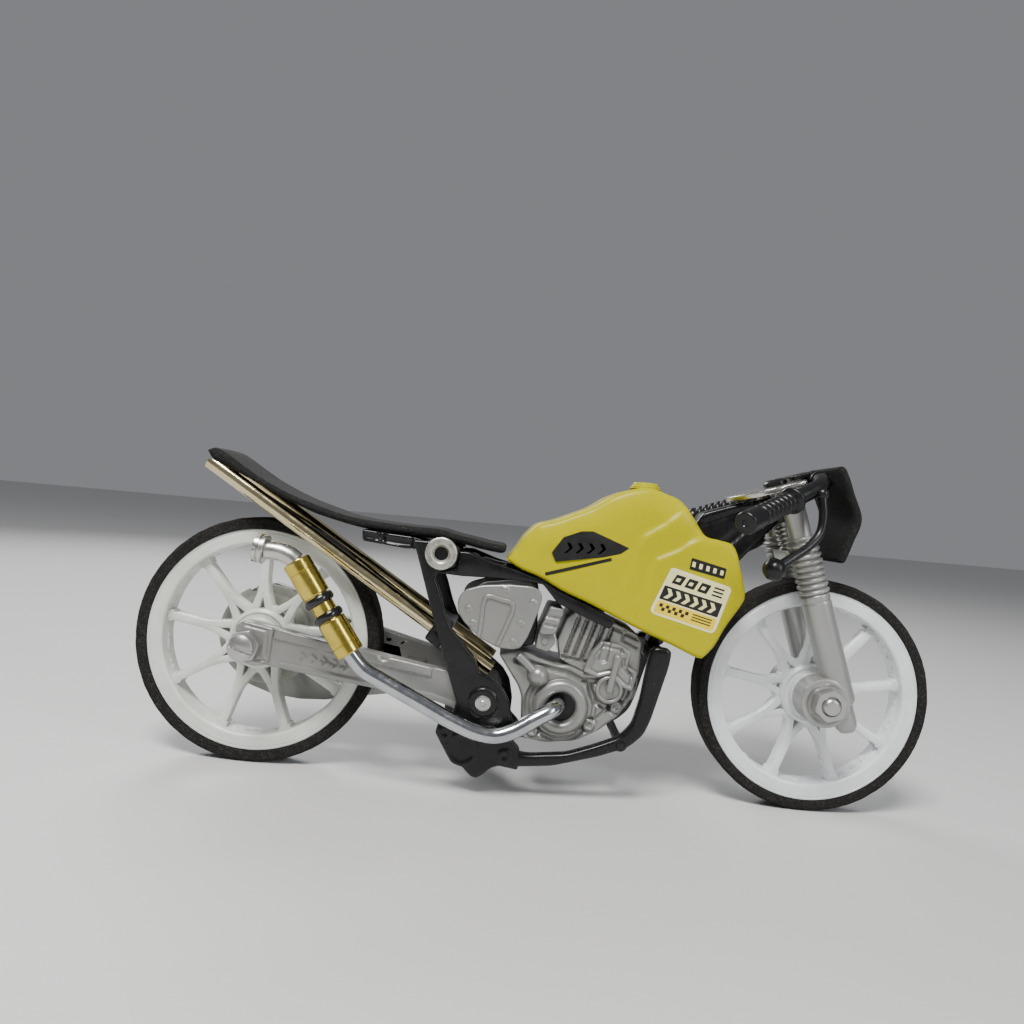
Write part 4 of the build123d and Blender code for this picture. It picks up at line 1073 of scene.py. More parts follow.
# ------------------------------------------------------------------ tank
TANK = [(-6.7, 44.6), (-5.0, 47.1), (-3.9, 49.1), (-2.5, 50.8), (-1.2, 51.9), (2.3, 53.1), (5.4, 54.5), (8.8, 56.1), (12.4, 58.5), (16.0, 60.1), (19.5, 60.7), (22.9, 59.8), (25.0, 59.1), (26.2, 58.3), (27.8, 56.3), (29.3, 54.2), (30.7, 52.4), (33.2, 51.9), (35.6, 51.3), (36.7, 49.8), (37.5, 47.3), (38.3, 44.6), (38.9, 41.6), (38.2, 40.0), (36.8, 37.7), (35.3, 35.1), (33.9, 32.1), (32.7, 30.4), (31.6, 29.3), (30.4, 29.5), (25.9, 31.3), (20.3, 33.4), (14.2, 35.8), (10.2, 37.5), (4.1, 39.8), (0.1, 41.8), (-4.1, 43.2)]
STEP1 = [(26.6, 57.5), (22.6, 54.0), (18.7, 51.4), (17.7, 49.1), (16.0, 43.0), (14.1, 36.4), (14.2, 30.0), (42.0, 24.0), (42.0, 50.0), (30.7, 60.0)]
STEP2 = [(30.3, 52.6), (27.6, 51.0), (25.6, 49.4), (21.4, 47.3), (20.2, 44.1), (18.8, 38.7), (18.1, 34.2), (18.1, 30.0), (42.0, 24.0), (42.0, 58.0), (31.0, 58.0)]
PANEL = [(24.3, 45.9), (24.9, 46.0), (35.6, 43.3), (35.9, 42.7), (33.6, 34.9), (32.9, 34.3), (21.5, 37.1), (21.0, 37.8)]
LABEL = [(28.0, 48.2), (34.7, 46.7), (34.4, 44.7), (27.7, 46.0)]
SHARD = [(1.7, 46.8), (3.7, 49.9), (7.0, 51.3), (9.2, 51.5), (16.3, 48.9), (14.8, 47.7), (11.8, 46.8), (2.6, 45.1)]
LINE = [(0.7, 42.9), (13.1, 46.8), (13.2, 46.2), (0.9, 42.3)]
UPPER = TANK[:23]
LOWERL = [TANK[-1], TANK[0]]


def tank_h(x, z):
    x, z = np.asarray(x, float), np.asarray(z, float)
    k = 0.6 * step(sd(x, z, ccw(STEP1)), 1.1) + 0.6 * step(sd(x, z, ccw(STEP2)), 0.9)
    # rounded shoulder towards the top edge, less towards the front
    d_ = dline(x, z, TANK[:16])
    k = k - 1.1 * np.clip(1 - d_ / 4.6, 0, 1) ** 2.0
    d2 = dline(x, z, TANK[16:23])
    k = k - 0.45 * np.clip(1 - d2 / 2.4, 0, 1) ** 2
    # knee hollow and soft rib
    k = k - 0.35 * np.exp(-((x - 5.0) ** 2 / 40 + (z - 46.2 - 0.28 * (x - 5)) ** 2 / 9))
    return k


def skin(loop_pts, y):
    return [(x, y, z) for x, z in loop_pts]


def half_tank():
    p = list(TANK)
    # outline with its corners eased, marked above (True) or along the open lower edge (False)
    dense, top = [], []
    c = catmull([(x, 0, z) for x, z in TANK[:29]], 6)
    for q in c:
        dense.append((q.x, q.z))
        top.append(True)
    low = catmull([(x, 0, z) for x, z in TANK[28:] + TANK[:1]], 6)[1:-1]
    for q in low:
        dense.append((q.x, q.z))
        top.append(False)
    if area2(dense) < 0:
        dense.reverse()
        top.reverse()
    n = len(dense)
    e = 0.8
    out = M()
    xs = np.array([q[0] for q in dense])
    zs = np.array([q[1] for q in dense])
    rings = []
    for t in (90, 70, 50, 30, 12, 0):
        a = math.radians(t)
        lp = inset(dense, e * (1 - math.cos(a)))
        hx = np.array([q[0] for q in lp])
        hz = np.array([q[1] for q in lp])
        hh = tank_h(hx, hz)
        y = -9.0 + e * (1 - math.sin(a))
        rings.append([(q[0], y - k, q[1]) for q, k in zip(lp, hh)])
    v = [q for r in rings for q in r]
    f = []
    for j in range(len(rings) - 1):
        for i in range(n):
            i2 = (i + 1) % n
            f.append((j * n + i, j * n + i2, (j + 1) * n + i2, (j + 1) * n + i))
    base = (len(rings) - 1) * n
    # side face
    face_loop = inset(dense, e)
    pts = [Vector(q) for q in face_loop]
    gx, gz = np.meshgrid(np.arange(-8, 40, 0.42), np.arange(28, 62, 0.42))
    gx[1::2] += 0.21
    gx, gz = gx.ravel(), gz.ravel()
    keep = inside(gx, gz, face_loop) & (dline(gx, gz, face_loop, True) > 0.22)
    pts += [Vector((a, b)) for a, b in zip(gx[keep], gz[keep])]
    v2, _, f2, *_ = delaunay_2d_cdt(pts, [(i, (i + 1) % n) for i in range(n)], [], 2, 1e-6)
    hx = np.array([q.x for q in v2])
    hz = np.array([q.y for q in v2])
    k0 = len(v)
    v += [(a, -9.0 - c_, b) for a, b, c_ in zip(hx, hz, tank_h(hx, hz))]
    f += [tuple(k0 + i for i in q) for q in f2]
    # roof across to the middle, crowned a little
    inner = inset(dense, 1.2)
    SLOT = [(26.5, 44.0), (28.0, 51.5), (28.1, 52.7), (31.0, 57.4), (31.4, 58.5), (42.0, 58.5), (42.0, 44.0)]
    ys = [-5.6, -3.2, -1.6, 0.0]
    cols, icols = [], []
    for yy in ys:
        col = []
        for q in dense:
            col.append(len(v))
            v.append((q[0], yy, q[1]))
        cols.append(col)
    for yy in [-7.8, -5.6, -3.2, -1.6, 0.0]:
        col = []
        for q, w, tp_ in zip(dense, inner, top):
            col.append(len(v))
            qq = w if tp_ else q
            v.append((qq[0], yy, qq[1]))
        icols.append(col)
    cols = [[base + i for i in range(n)]] + cols
    slot_in = list(inside(xs, zs, SLOT))
    for i in range(n):
        i2 = (i + 1) % n
        if top[i] and top[i2]:
            cut = slot_in[i] and slot_in[i2]
            for j in range(4):
                if cut and j >= 2:
                    continue
                f.append((cols[j][i], cols[j][i2], cols[j + 1][i2], cols[j + 1][i]))
                f.append((icols[j][i], icols[j][i2], icols[j + 1][i2], icols[j + 1][i]))
            if cut:
                f.append((cols[2][i], cols[2][i2], icols[2][i2], icols[2][i]))
        else:
            f.append((cols[0][i], cols[0][i2], icols[0][i2], icols[0][i]))
    # inner side face
    v3, _, f3, *_ = delaunay_2d_cdt([Vector((v[i][0], v[i][2])) for i in icols[0]], [(i, (i + 1) % n) for i in range(n)], [], 2, 1e-6)
    k0 = len(v)
    v += [(q.x, -7.8, q.y) for q in v3]
    f += [tuple(k0 + i for i in q) for q in f3]
    # wall ends at the two lower corners
    for i in range(n):
        if top[i] and (not top[i - 1] or not top[(i + 1) % n]):
            f.append(tuple([c_[i] for c_ in cols] + [c_[i] for c_ in reversed(icols)]))
    out.add(v, f)
    return out


ht = half_tank()
tank = weld(M().join(ht).join(ht.flip()), 0.004)
cap_prof = [(0, 2.0), (1.5, 1.99), (2.2, 1.93), (2.45, 1.8), (2.55, 1.6), (2.6, 1.35), (2.85, 1.25), (2.9, 1.1), (2.9, 0.5), (2.9, 0.0), (0, 0.0)]
tank.join(lathe(cap_prof, (19.8, 0, 60.0), (0, 0, 1), 72))
tank.join(torus((19.8, 0, 60.75), (0, 0, 1), 3.05, 0.22, 0, 72, 10, 0.7))
to = tank.make("tank_moulding", [YELLOW], "frame", ["tank_shell"], weld=0, angle=52)

# ------------------------------------------------------------------ stickers: plain bars and chequers
TL, TR_, BR_, BL = (24.0, 46.15), (36.05, 43.35), (33.35, 34.15), (20.85, 37.15)


def pan(s_, t_):
    a = (TL[0] + (TR_[0] - TL[0]) * s_, TL[1] + (TR_[1] - TL[1]) * s_)
    b = (BL[0] + (BR_[0] - BL[0]) * s_, BL[1] + (BR_[1] - BL[1]) * s_)
    return (a[0] + (b[0] - a[0]) * t_, a[1] + (b[1] - a[1]) * t_)


def quad(s0, t0, s1, t1, lean=0.0):
    return [pan(s0 + lean, t0), pan(s1 + lean, t0), pan(s1, t1), pan(s0, t1)]


def film(poly, lift, m, corner=0.12, grid=0.5):
    return plate(poly, -9.0, -8.95, edge=0.0, h=lambda x, z: tank_h(x, z) + lift, grid=grid, corner=corner, m=m, seg=0.5)


def side_sticker():
    s = M()
    s.join(film(PANEL, 0.045, 0, 0.6))
    s.join(film(quad(0.045, 0.05, 0.955, 0.345), 0.06, 1, 0.3))
    s.join(film(quad(0.045, 0.375, 0.955, 0.665), 0.06, 2, 0.2))
    s.join(film(quad(0.045, 0.695, 0.955, 0.95), 0.06, 3, 0.3))
    # slanted blocks on the pale band
    for i in range(3):
        s0 = 0.12 + 0.2 * i
        s.join(film(quad(s0, 0.10, s0 + 0.15, 0.295, 0.03), 0.075, 2, 0.08))
        s.join(film(quad(s0 + 0.045, 0.165, s0 + 0.105, 0.235, 0.012), 0.088, 1, 0.04))
    for i in range(3):
        s.join(film(quad(0.75, 0.10 + 0.075 * i, 0.91, 0.135 + 0.075 * i), 0.075, 2, 0.04))
    # chevrons on the black band
    for i in range(6):
        s0 = 0.10 + 0.135 * i
        s.join(film([pan(s0, 0.42), pan(s0 + 0.06, 0.42), pan(s0 + 0.115, 0.52), pan(s0 + 0.06, 0.62), pan(s0, 0.62), pan(s0 + 0.055, 0.52)], 0.075, 1, 0.04))
    # chequer and bars on the yellow band
    for i in range(9):
        for j in range(2):
            if (i + j) % 2 == 0:
                s.join(film(quad(0.09 + 0.05 * i, 0.74 + 0.07 * j, 0.14 + 0.05 * i, 0.81 + 0.07 * j), 0.075, 2, 0.02))
    for i in range(3):
        s.join(film(quad(0.60, 0.74 + 0.055 * i, 0.90, 0.765 + 0.055 * i), 0.075, 2, 0.03))
    # small dark label above
    s.join(film(LABEL, 0.05, 2, 0.25))
    for i in range(5):
        a, b = i / 5 + 0.05, i / 5 + 0.14

        def lp(q, w):
            p0 = (28.0 + 6.7 * q, 48.2 - 1.5 * q)
            p1 = (27.7 + 6.7 * q, 46.0 - 1.3 * q)
            return (p0[0] + (p1[0] - p0[0]) * w, p0[1] + (p1[1] - p0[1]) * w)

        s.join(film([lp(a, 0.28), lp(b, 0.28), lp(b, 0.72), lp(a, 0.72)], 0.065, 1, 0.03))
    return s


st = side_sticker()
SM = [S_EDGE, S_PALE, S_BLACK, S_YEL]
st.make("badge_r", SM, "frame", ["sticker_side_right"], weld=0, smooth=False, slot="sticker")
st.flip().make("badge_l", SM, "frame", ["sticker_side_left"], weld=0, smooth=False, slot="sticker")
g = M()
g.join(film(SHARD, 0.04, 2, 0.15))
for i in range(4):
    x0, z0 = 4.4 + 2.1 * i, 47.9 + 0.1 * i
    g.join(film([(x0, z0 + 1.0), (x0 + 0.6, z0 + 1.1), (x0 + 1.25, z0 + 0.1), (x0 + 0.2, z0 - 0.9), (x0 - 0.4, z0 - 1.0), (x0 + 0.6, z0)], 0.052, 3, 0.05))
g.join(film(LINE, 0.04, 2, 0.08))
g.make("flash_r", SM, "frame", ["sticker_graphic_right"], weld=0, smooth=False, slot="sticker")

# ------------------------------------------------------------------ engine
CASE_E = [(-6.8, 26.6), (-2.4, 20.6), (-1.3, 17.7), (-1.2, 14.2), (-0.9, 10.7), (3.8, 10.25), (9.3, 11.0), (13.5, 13.2), (17.6, 16.8), (19.1, 19.5), (20.2, 20.5), (20.5, 24.4), (9.6, 24.4), (7.1, 25.4), (4.8, 25.3), (1.2, 26.2), (-1.6, 27.4), (-4.0, 27.2)]


def case_e(x, z):
    k = -0.7 * step(0.45 - dline(x, z, [(19.6, 23.0), (9.8, 22.7), (6.9, 23.9), (1.4, 24.8), (-3.2, 25.6)]), 0.5)
    k = k - 0.55 * step(0.4 - np.abs(disc(x, z, 6.0, 17.6) - 6.5), 0.4) * (z < 22.6)
    k = k - 0.8 * step(0.5 - np.abs(disc(x, z, 14.95, 21.6) - 3.5), 0.4) * (z < 22.4)
    k = k - 0.5 * step(0.35 - dline(x, z, [(9.6, 13.0), (13.0, 15.6), (16.6, 19.0)]), 0.4)
    for bx_, bz_ in ((11.8, 14.2), (1.0, 12.2), (16.7, 18.1)):
        k = np.where(disc(x, z, bx_, bz_) < 1.15, -0.05 - 0.35 * step(0.55 - disc(x, z, bx_, bz_), 0.2), k)
        k = k - 0.4 * step(0.25 - np.abs(disc(x, z, bx_, bz_) - 1.35), 0.25)
    return k


ce = plate(CASE_E, -7.4, 0, edge=0.5, back=0.0, h=case_e, grid=0.26, corner=0.8)
ce.make("crankcase_r", [SILVER], "frame", ["crankcase_right"], weld=0, angle=60)
cl = M().join(ce.flip())
cl.join(lathe([(2.65, 8.0), (2.75, 8.5), (2.95, 8.6), (4.9, 8.6), (5.15, 8.5), (5.25, 8.3), (5.25, 7.35), (2.65, 7.35)], (6.0, 0, 17.6), (0, 1, 0), 72, closed=True))
cl.join(lathe([(0, 7.38), (2.7, 7.38), (2.7, 8.0), (0, 8.0)], (6.0, 0, 17.6), (0, 1, 0), 48))
cl.make("crankcase_l", [SILVER], "frame", ["crankcase_left"], weld=0, angle=60)
cr_ = [(4.0 + 1.25 * math.cos(math.radians(t)), -8.2 + 1.25 * math.sin(math.radians(t)) * -1) for t in range(0, 181, 12)]
ringp = [(2.9, -7.42), (2.75, -8.2)] + [(4.0 - 1.25 * math.cos(math.radians(t)), -8.2 - 1.25 * math.sin(math.radians(t))) for t in range(6, 175, 12)] + [(5.25, -8.2), (5.15, -7.42)]
cring = lathe(ringp, (6.0, 0, 17.6), (0, 1, 0), 96, closed=True)
cring.join(torus((6.0, -8.3, 17.6), (0, 1, 0), 5.12, 0.2, 0, 96, 8))
cring.join(lathe([(0, -7.42), (3.05, -7.42), (3.05, -7.6), (2.0, -7.5), (0, -7.48)], (6.0, 0, 17.6), (0, 1, 0), 64, 1))
cring.make("clutch_torus", [SILVER, BLACK2], "frame", ["clutch_ring"], weld=0, angle=60)
bs = sphere((1.2, -7.95, 23.0), 2.08, 0, 48, 24)
bs.join(sweep(catmull([(-3.0, -8.3, 26.7), (-1.4, -8.4, 25.4), (0.6, -8.3, 23.6)], 6), 0.85, 24))
bs.join(torus((1.2, -7.95, 23.0), (0.15, 1, 0.1), 1.9, 0.24, 0, 64, 8))
bs.make("ball_and_stalk", [SILVER], "frame", ["ball_stalk"], weld=0, angle=60)

FINS = [(9.6, 24.4), (20.5, 24.4), (20.9, 30.8), (19.5, 32.6), (16.0, 34.0), (12.4, 35.4), (8.2, 36.4), (5.9, 34.6), (4.4, 30.0), (5.2, 26.4), (7.1, 25.4)]


def fins_h(x, z):
    k = 0.0 * np.asarray(x, float)
    # broad leaning bands with deep gaps, then the smooth head
    for i in range(5):
        x0 = 6.6 + 1.62 * i
        a, b = (x0 + 1.6, 34.6 - 0.42 * i), (x0 - 0.4, 27.8 - 0.34 * i)
        k = np.minimum(k, -1.25 * step(0.36 - dline(x, z, [a, b]), 0.2))
    k = np.minimum(k, -0.7 * step(0.3 - dline(x, z, [(5.6, 26.9), (12.6, 26.0)]), 0.25))
    k = np.minimum(k, -0.5 * step(0.22 - dline(x, z, [(14.4, 33.4), (19.8, 31.4)]), 0.22))
    k = np.minimum(k, -0.5 * step(0.22 - dline(x, z, [(17.2, 33.0), (16.8, 30.8), (19.9, 29.6)]), 0.22))
    return k


fb = plate(FINS, -6.6, 0, edge=0.35, back=0.0, h=fins_h, grid=0.2, corner=0.4)
fb2 = M().join(fb).join(fb.flip())
fb2.make("cylinder_finned", [SILVER], "frame", ["cylinder_block"], weld=0, angle=60)

HEADP = [(12.7, 30.7), (16.3, 30.3), (18.6, 29.1), (18.0, 26.4), (20.2, 25.3), (19.4, 21.6), (17.4, 22.2), (14.8, 24.4), (12.5, 23.7), (9.6, 24.7), (10.9, 28.4)]


def head_h(x, z):
    k = -0.75 * step(sd(x, z, ccw([(13.2, 30.9), (14.6, 30.7), (14.0, 27.0), (13.2, 26.6), (12.4, 27.2)])), 0.35)
    k = k - 0.3 * step(0.25 - np.abs(sd(x, z, ccw(HEADP)) - 0.9), 0.3)
    k = k - 0.35 * step(0.3 - dline(x, z, [(16.6, 29.6), (17.3, 26.6), (18.9, 24.4)]), 0.3)
    return k


hp = plate(HEADP, -8.4, -6.7, edge=0.3, h=head_h, grid=0.18, corner=0.5)
hp.join(lathe([(0, -7.4), (2.6, -7.4), (2.65, -7.6), (2.65, -8.35), (2.55, -8.55), (2.3, -8.6), (2.0, -8.55), (1.9, -8.35), (1.85, -8.0), (0.7, -8.0), (0.55, -8.25), (0, -8.3)], (14.95, 0, 21.6), (0, 1, 0), 64))
hp.join(sweep([(14.9, -8.95, 21.2), (15.2, -8.95, 23.5), (15.75, -8.95, 26.6), (16.0, -8.95, 28.2)], 0.6, 20, flat=0.62, radii=lambda t: 0.78 - 0.2 * math.sin(math.pi * t)))
hp.join(sphere((15.95, -8.85, 28.0), 0.62, 0, 24, 12))
hp.make("head_and_lever", [SILVER], "frame", ["head_plate"], weld=0, angle=55)

# carburettor: stacked bodies
cb = M()
cb.join(plate([(2.4, 36.5), (5.0, 36.2), (4.9, 34.9), (3.6, 31.2), (1.3, 31.0), (0.6, 31.4)], -8.6, 4.0, edge=0.35, h=lambda x, z: -0.35 * step(0.3 - dline(x, z, [(1.6, 33.0), (4.3, 32.6)]), 0.3) - 0.35 * step(0.3 - dline(x, z, [(1.9, 34.6), (4.8, 34.3)]), 0.3), grid=0.25, corner=0.4))
cb.join(plate([(0.6, 31.4), (3.6, 31.2), (4.0, 29.4), (2.6, 27.6), (0.2, 28.2)], -7.6, 4.0, edge=0.3, corner=0.4))
cb.join(lathe([(0, -7.9), (0.55, -7.9), (0.7, -7.75), (0.7, -7.4), (0, -7.4)], (1.9, 0, 29.6), (0, 1, 0), 24))
cb.make("carb_body", [SILVER], "frame", ["carburettor"], weld=0, angle=50)

LEAF = [(-15.3, 35.9), (-15.0, 37.2), (-14.0, 38.4), (-11.0, 39.5), (-5.8, 40.1), (-1.6, 40.1), (0.2, 39.5), (0.7, 38.1), (0.2, 35.6), (-1.4, 30.5), (-2.6, 28.3), (-4.0, 27.8), (-6.8, 27.9), (-10.4, 29.4), (-13.9, 32.3), (-15.1, 34.2)]
ABOX = [(-13.6, 36.6), (-11.0, 38.6), (-5.8, 39.4), (-1.6, 39.4), (-0.2, 38.6), (-0.9, 35.0), (-2.6, 30.4), (-4.4, 29.2), (-6.8, 29.0), (-10.0, 30.4), (-13.0, 33.0)]


def leaf_h(x, z):
    L_ = ccw(LEAF)
    k = 0.0 * np.asarray(x, float)
    d_ = sd(x, z, L_)
    k = k - 0.28 * step(0.3 - np.abs(d_ - 1.0), 0.35)
    k = k - 0.3 * step(0.85 - dline(x, z, [(-10.75, 29.8), (-10.45, 33.0), (-10.35, 36.4), (-9.9, 37.35), (-9.2, 37.55), (-7.0, 37.05), (-5.0, 36.6), (-4.7, 35.7), (-5.6, 32.6), (-7.1, 28.5)]), 0.35)
    k = k - 0.2 * step(0.22 - dline(x, z, [(-14.6, 35.2), (-10.4, 35.6), (-5.0, 35.4), (-0.2, 36.2)]), 0.25)
    for rx, rz in ((-13.0, 34.8), (-3.0, 32.8), (-12.0, 32.2), (-1.0, 37.0), (-6.4, 39.0), (-4.1, 29.2)):
        r_ = disc(x, z, rx, rz)
        k = np.maximum(k, 0.28 * np.sqrt(np.clip(1 - (r_ / 0.75) ** 2, 0, 1)))
    return k


def leaf_piece(loop):
    s = plate(LEAF, -9.5, -8.6, edge=0.35, h=leaf_h, grid=0.24, corner=0.8)
    if loop:
        line = catmull([(-10.75, -9.68, 29.8), (-10.45, -9.7, 33.0), (-10.35, -9.7, 36.4), (-9.9, -9.7, 37.35), (-9.2, -9.7, 37.55), (-7.0, -9.7, 37.05), (-5.0, -9.7, 36.6), (-4.7, -9.7, 35.7), (-5.6, -9.7, 32.6), (-7.1, -9.68, 28.5)], 8)
        s.join(sweep(line, 0.42, 16, flat=0.5))
    return s


leaf_piece(True).make("leaf_cover_r", [SILVER], "frame", ["air_cover_right"], weld=0, angle=55)
leaf_piece(False).flip().make("leaf_cover_l", [SILVER], "frame", ["air_cover_left"], weld=0, angle=55)
ab = plate(ABOX, -8.6, 0, edge=0.3, back=0.0, corner=0.6, h=lambda x, z: 0 * np.asarray(x, float), grid=0.8)
ab.join(plate([(-3.0, 38.0), (0.2, 37.2), (0.35, 31.8), (0.0, 28.6), (-2.0, 27.9), (-3.4, 29.4)], -5.6, 0, edge=0.3, back=0.0, corner=0.4, m=1))
ab2 = M().join(ab).join(ab.flip())
ab2.make("air_box_body", [SILVER, BLACK2], "frame", ["air_box"], weld=0, angle=50)

# ------------------------------------------------------------------ backbone
BONE = [(-11.6, 41.2), (-4.0, 41.0), (2.0, 40.6), (8.0, 39.6), (20.0, 41.5), (29.0, 44.6), (34.0, 45.2), (38.9, 47.6), (43.0, 52.6), (46.3, 56.2), (46.3, 60.8), (44.4, 61.0), (38.7, 59.6), (31.4, 57.0), (28.6, 52.6), (14.0, 48.8), (2.0, 46.4), (-2.6, 43.3), (-8.0, 43.6), (-11.6, 44.4)]


def bone_h(x, z):
    k = -0.5 * step(0.9 - dline(x, z, [(32.0, 48.5), (37.0, 52.0), (41.5, 56.8)]), 0.6)
    k = k - 0.3 * step(0.35 - dline(x, z, [(31.0, 54.6), (38.0, 57.6), (44.0, 59.2)]), 0.4)
    return k


bb = plate(BONE, -2.8, 2.8, edge=0.5, h=bone_h, grid=0.5, corner=0.8)
bb.join(plate([(22.6, 30.25), (25.3, 30.0), (28.6, 35.4), (34.0, 46.0), (29.0, 45.5), (25.4, 37.6)], -2.8, 2.8, edge=0.5, corner=0.6))
bb.join(lathe([(1.58, 0.1), (1.75, 0), (3.0, 0), (3.3, 0.25), (3.3, 1.0), (3.05, 1.2), (3.05, 4.0), (3.3, 4.2), (3.3, 4.95), (3.0, 5.2), (1.75, 5.2), (1.58, 5.1)], on_axis(-19.6), (DX, 0, DZ), 64, closed=True))
bb.make("neck_and_spine", [BLACK], "frame", ["backbone"], weld=0, angle=50)

# ------------------------------------------------------------------ exhaust
PIPE = [(5.5, -7.4, 18.2), (5.3, -9.4, 18.1), (4.0, -11.2, 17.4), (1.4, -12.2, 16.0), (-2.8, -13.0, 13.5), (-6.0, -13.4, 12.5), (-9.5, -13.8, 12.9), (-13.7, -14.2, 14.5), (-20.8, -14.5, 17.9), (-27.9, -14.5, 21.2), (-30.9, -14.5, 22.7)]
SX, SZ, EX, EZ = -33.53, 25.37, -0.5826, 0.8127


def sl(d_):
    return (SX + EX * d_, -14.5, SZ + EZ * d_)


line = catmull(PIPE + [sl(0), sl(2.5), sl(5.0), sl(10.0), sl(19.6)], 10)
sweep(line, 1.5, 48, capr=0.0).make("pipe_bent", [PIPE_M], "frame", ["exhaust_pipe"], weld=0, angle=50)
SLEEVE = [(1.52, 0.12), (1.65, 0.02), (2.42, 0.0), (2.54, 0.05), (2.6, 0.18), (2.6, 1.9), (2.53, 1.98), (2.53, 2.12), (2.6, 2.2)]
low_pr = SLEEVE + [(2.6, 6.82), (2.54, 6.95), (2.42, 7.0), (2.1, 7.02), (2.1, 12.15), (1.52, 12.18)]
lathe(low_pr, sl(0.2), (EX, 0, EZ), 96, closed=True).make("brass_sleeve_lower", [BRASS], "frame", ["exhaust_sleeve_lower"], angle=35)
top_pr = [(1.52, 0.12), (1.65, 0.02), (2.42, 0.0), (2.54, 0.05), (2.6, 0.18), (2.6, 4.9), (2.53, 4.98), (2.53, 5.12), (2.6, 5.2), (2.6, 7.12), (2.54, 7.25), (2.42, 7.3), (1.65, 7.28), (1.52, 7.18)]
lathe(top_pr, sl(12.4), (EX, 0, EZ), 96, closed=True).make("brass_sleeve_upper", [BRASS], "frame", ["exhaust_sleeve_upper"], angle=35)
for nm, a in (("exhaust_ring_lower", 7.3), ("exhaust_ring_upper", 10.6)):
    pr = [(2.1, 0.15), (2.2, 0.03)] + [(2.3 + 0.5 * math.cos(math.radians(t)), 0.8 + 0.8 * math.sin(math.radians(t))) for t in range(-85, 86, 10)] + [(2.2, 1.57), (2.1, 1.45)]
    lathe(pr, sl(a), (EX, 0, EZ), 96, closed=True).make(nm.replace("exhaust", "rubber"), [RUBBER], "frame", [nm], angle=60)
el = catmull([sl(19.7), (-45.9, -14.5, 42.05), (-47.6, -14.5, 42.75), (-49.0, -14.5, 42.95), (-50.6, -14.5, 43.0)], 8)
sweep(el, 1.75, 40, capr=0.0).make("elbow_bent", [ALU], "frame", ["exhaust_elbow"], weld=0, angle=50)
cd = Vector((-1.98, 0, 0.34)).normalized()
CL = 2.009
col = M()
col_full = lathe([(1.1, 0.2), (1.3, 0.0), (2.55, 0.0), (2.7, 0.14), (2.7, 0.62), (2.5, 0.72), (2.5, 1.0), (2.7, 1.1), (2.7, 1.86), (2.55, CL), (1.5, CL), (1.35, CL - 0.12), (1.1, CL - 0.5)], (-50.62, -14.5, 43.01), cd, 96, closed=True)
cu_, cw_, _ = basis(cd)
for x_, y_, z_ in col_full.v:
    q = Vector((x_ + 50.62, y_ + 14.5, z_ - 43.01))
    t = q.dot(cd)
    ang = math.degrees(math.atan2(q.dot(cw_), q.dot(cu_))) % 60
    if t > 1.2 and 22 < ang < 38:
        q = q - cd * (t - 1.2) * 0.9
    col.v.append((q.x - 50.62, q.y - 14.5, q.z + 43.01))
col.f, col.m = col_full.f, col_full.m
col.make("collar_notched", [ALU], "frame", ["exhaust_collar"], weld=0, angle=35)

# ------------------------------------------------------------------ fork
leg = M()
leg.join(lathe([(0, -0.1), (2.4, -0.1), (2.65, 0.05), (2.75, 0.3), (2.75, 1.1), (2.62, 1.25), (2.62, 1.55), (2.75, 1.7), (2.75, 20.6), (2.68, 21.2), (2.4, 21.7), (2.1, 21.95), (2.05, 22.2), (2.05, 25.6), (1.9, 26.3), (1.4, 27.1), (0.7, 27.36), (0, 27.4)], on_axis(0, 0, -7.0), (DX, 0, DZ), 72))
leg.join(lathe([(1.5, -4.42), (4.4, -4.42), (4.62, -4.6), (4.7, -4.9), (4.7, -9.3), (4.6, -9.62), (4.3, -9.78), (3.9, -9.8), (3.6, -9.7), (3.4, -9.55), (1.52, -9.55)], (FRONT_X, 0, FRONT_R), (0, 1, 0), 96, closed=True))
bel = [(0, 0)]
for k in range(9):
    p0 = 1.16 * k
    bel += [(2.42, p0 + 0.02), (2.62, p0 + 0.16), (2.86, p0 + 0.32), (2.95, p0 + 0.5), (2.95, p0 + 0.64), (2.86, p0 + 0.82), (2.62, p0 + 1.0), (2.42, p0 + 1.13)]
bel += [(0, 1.16 * 9)]
leg.join(lathe(bel, on_axis(-1.16 * 9, 0, -7.0), (DX, 0, DZ), 72))
leg.join(lathe([(0, 0), (1.95, 0), (2.1, 0.12), (2.1, 1.2), (2.1, 10.2), (0, 10.2)], on_axis(-20.6, 0, -7.0), (DX, 0, DZ), 56))
leg.join(torus(on_axis(-11.0, 0, -7.0), (DX, 0, DZ), 2.12, 0.28, 0, 56, 10))
leg.make("fork_r", [FORK], "fork", ["fork_leg_right"], weld=0, angle=42)
leg.flip().make("fork_l", [FORK], "fork", ["fork_leg_left"], weld=0, angle=42)
th = [(0, -12.9), (1.1, -12.9), (1.3, -12.75)]
y = -12.7
while y < 12.6:
    th += [(1.5, y + 0.1), (1.36, y + 0.3)] if abs(y) > 9.5 else [(1.49, y + 0.1), (1.49, y + 0.3)]
    y += 0.44
th += [(1.3, 12.75), (1.1, 12.9), (0, 12.9)]
lathe(th, (FRONT_X, 0, FRONT_R), (0, 1, 0), 40).make("axle_front_threaded", [STEEL], "fork", ["front_axle"], weld=0, angle=40)
hexnut(FRONT_X, FRONT_R, 5.5, -12.1, -9.8, 1.51, 20).make("nut_front_r", [STEEL], "fork", ["front_nut_right"], angle=30)
hexnut(FRONT_X, FRONT_R, 5.5, 12.1, 9.8, 1.51, 20).make("nut_front_l", [STEEL], "fork", ["front_nut_left"], angle=30)


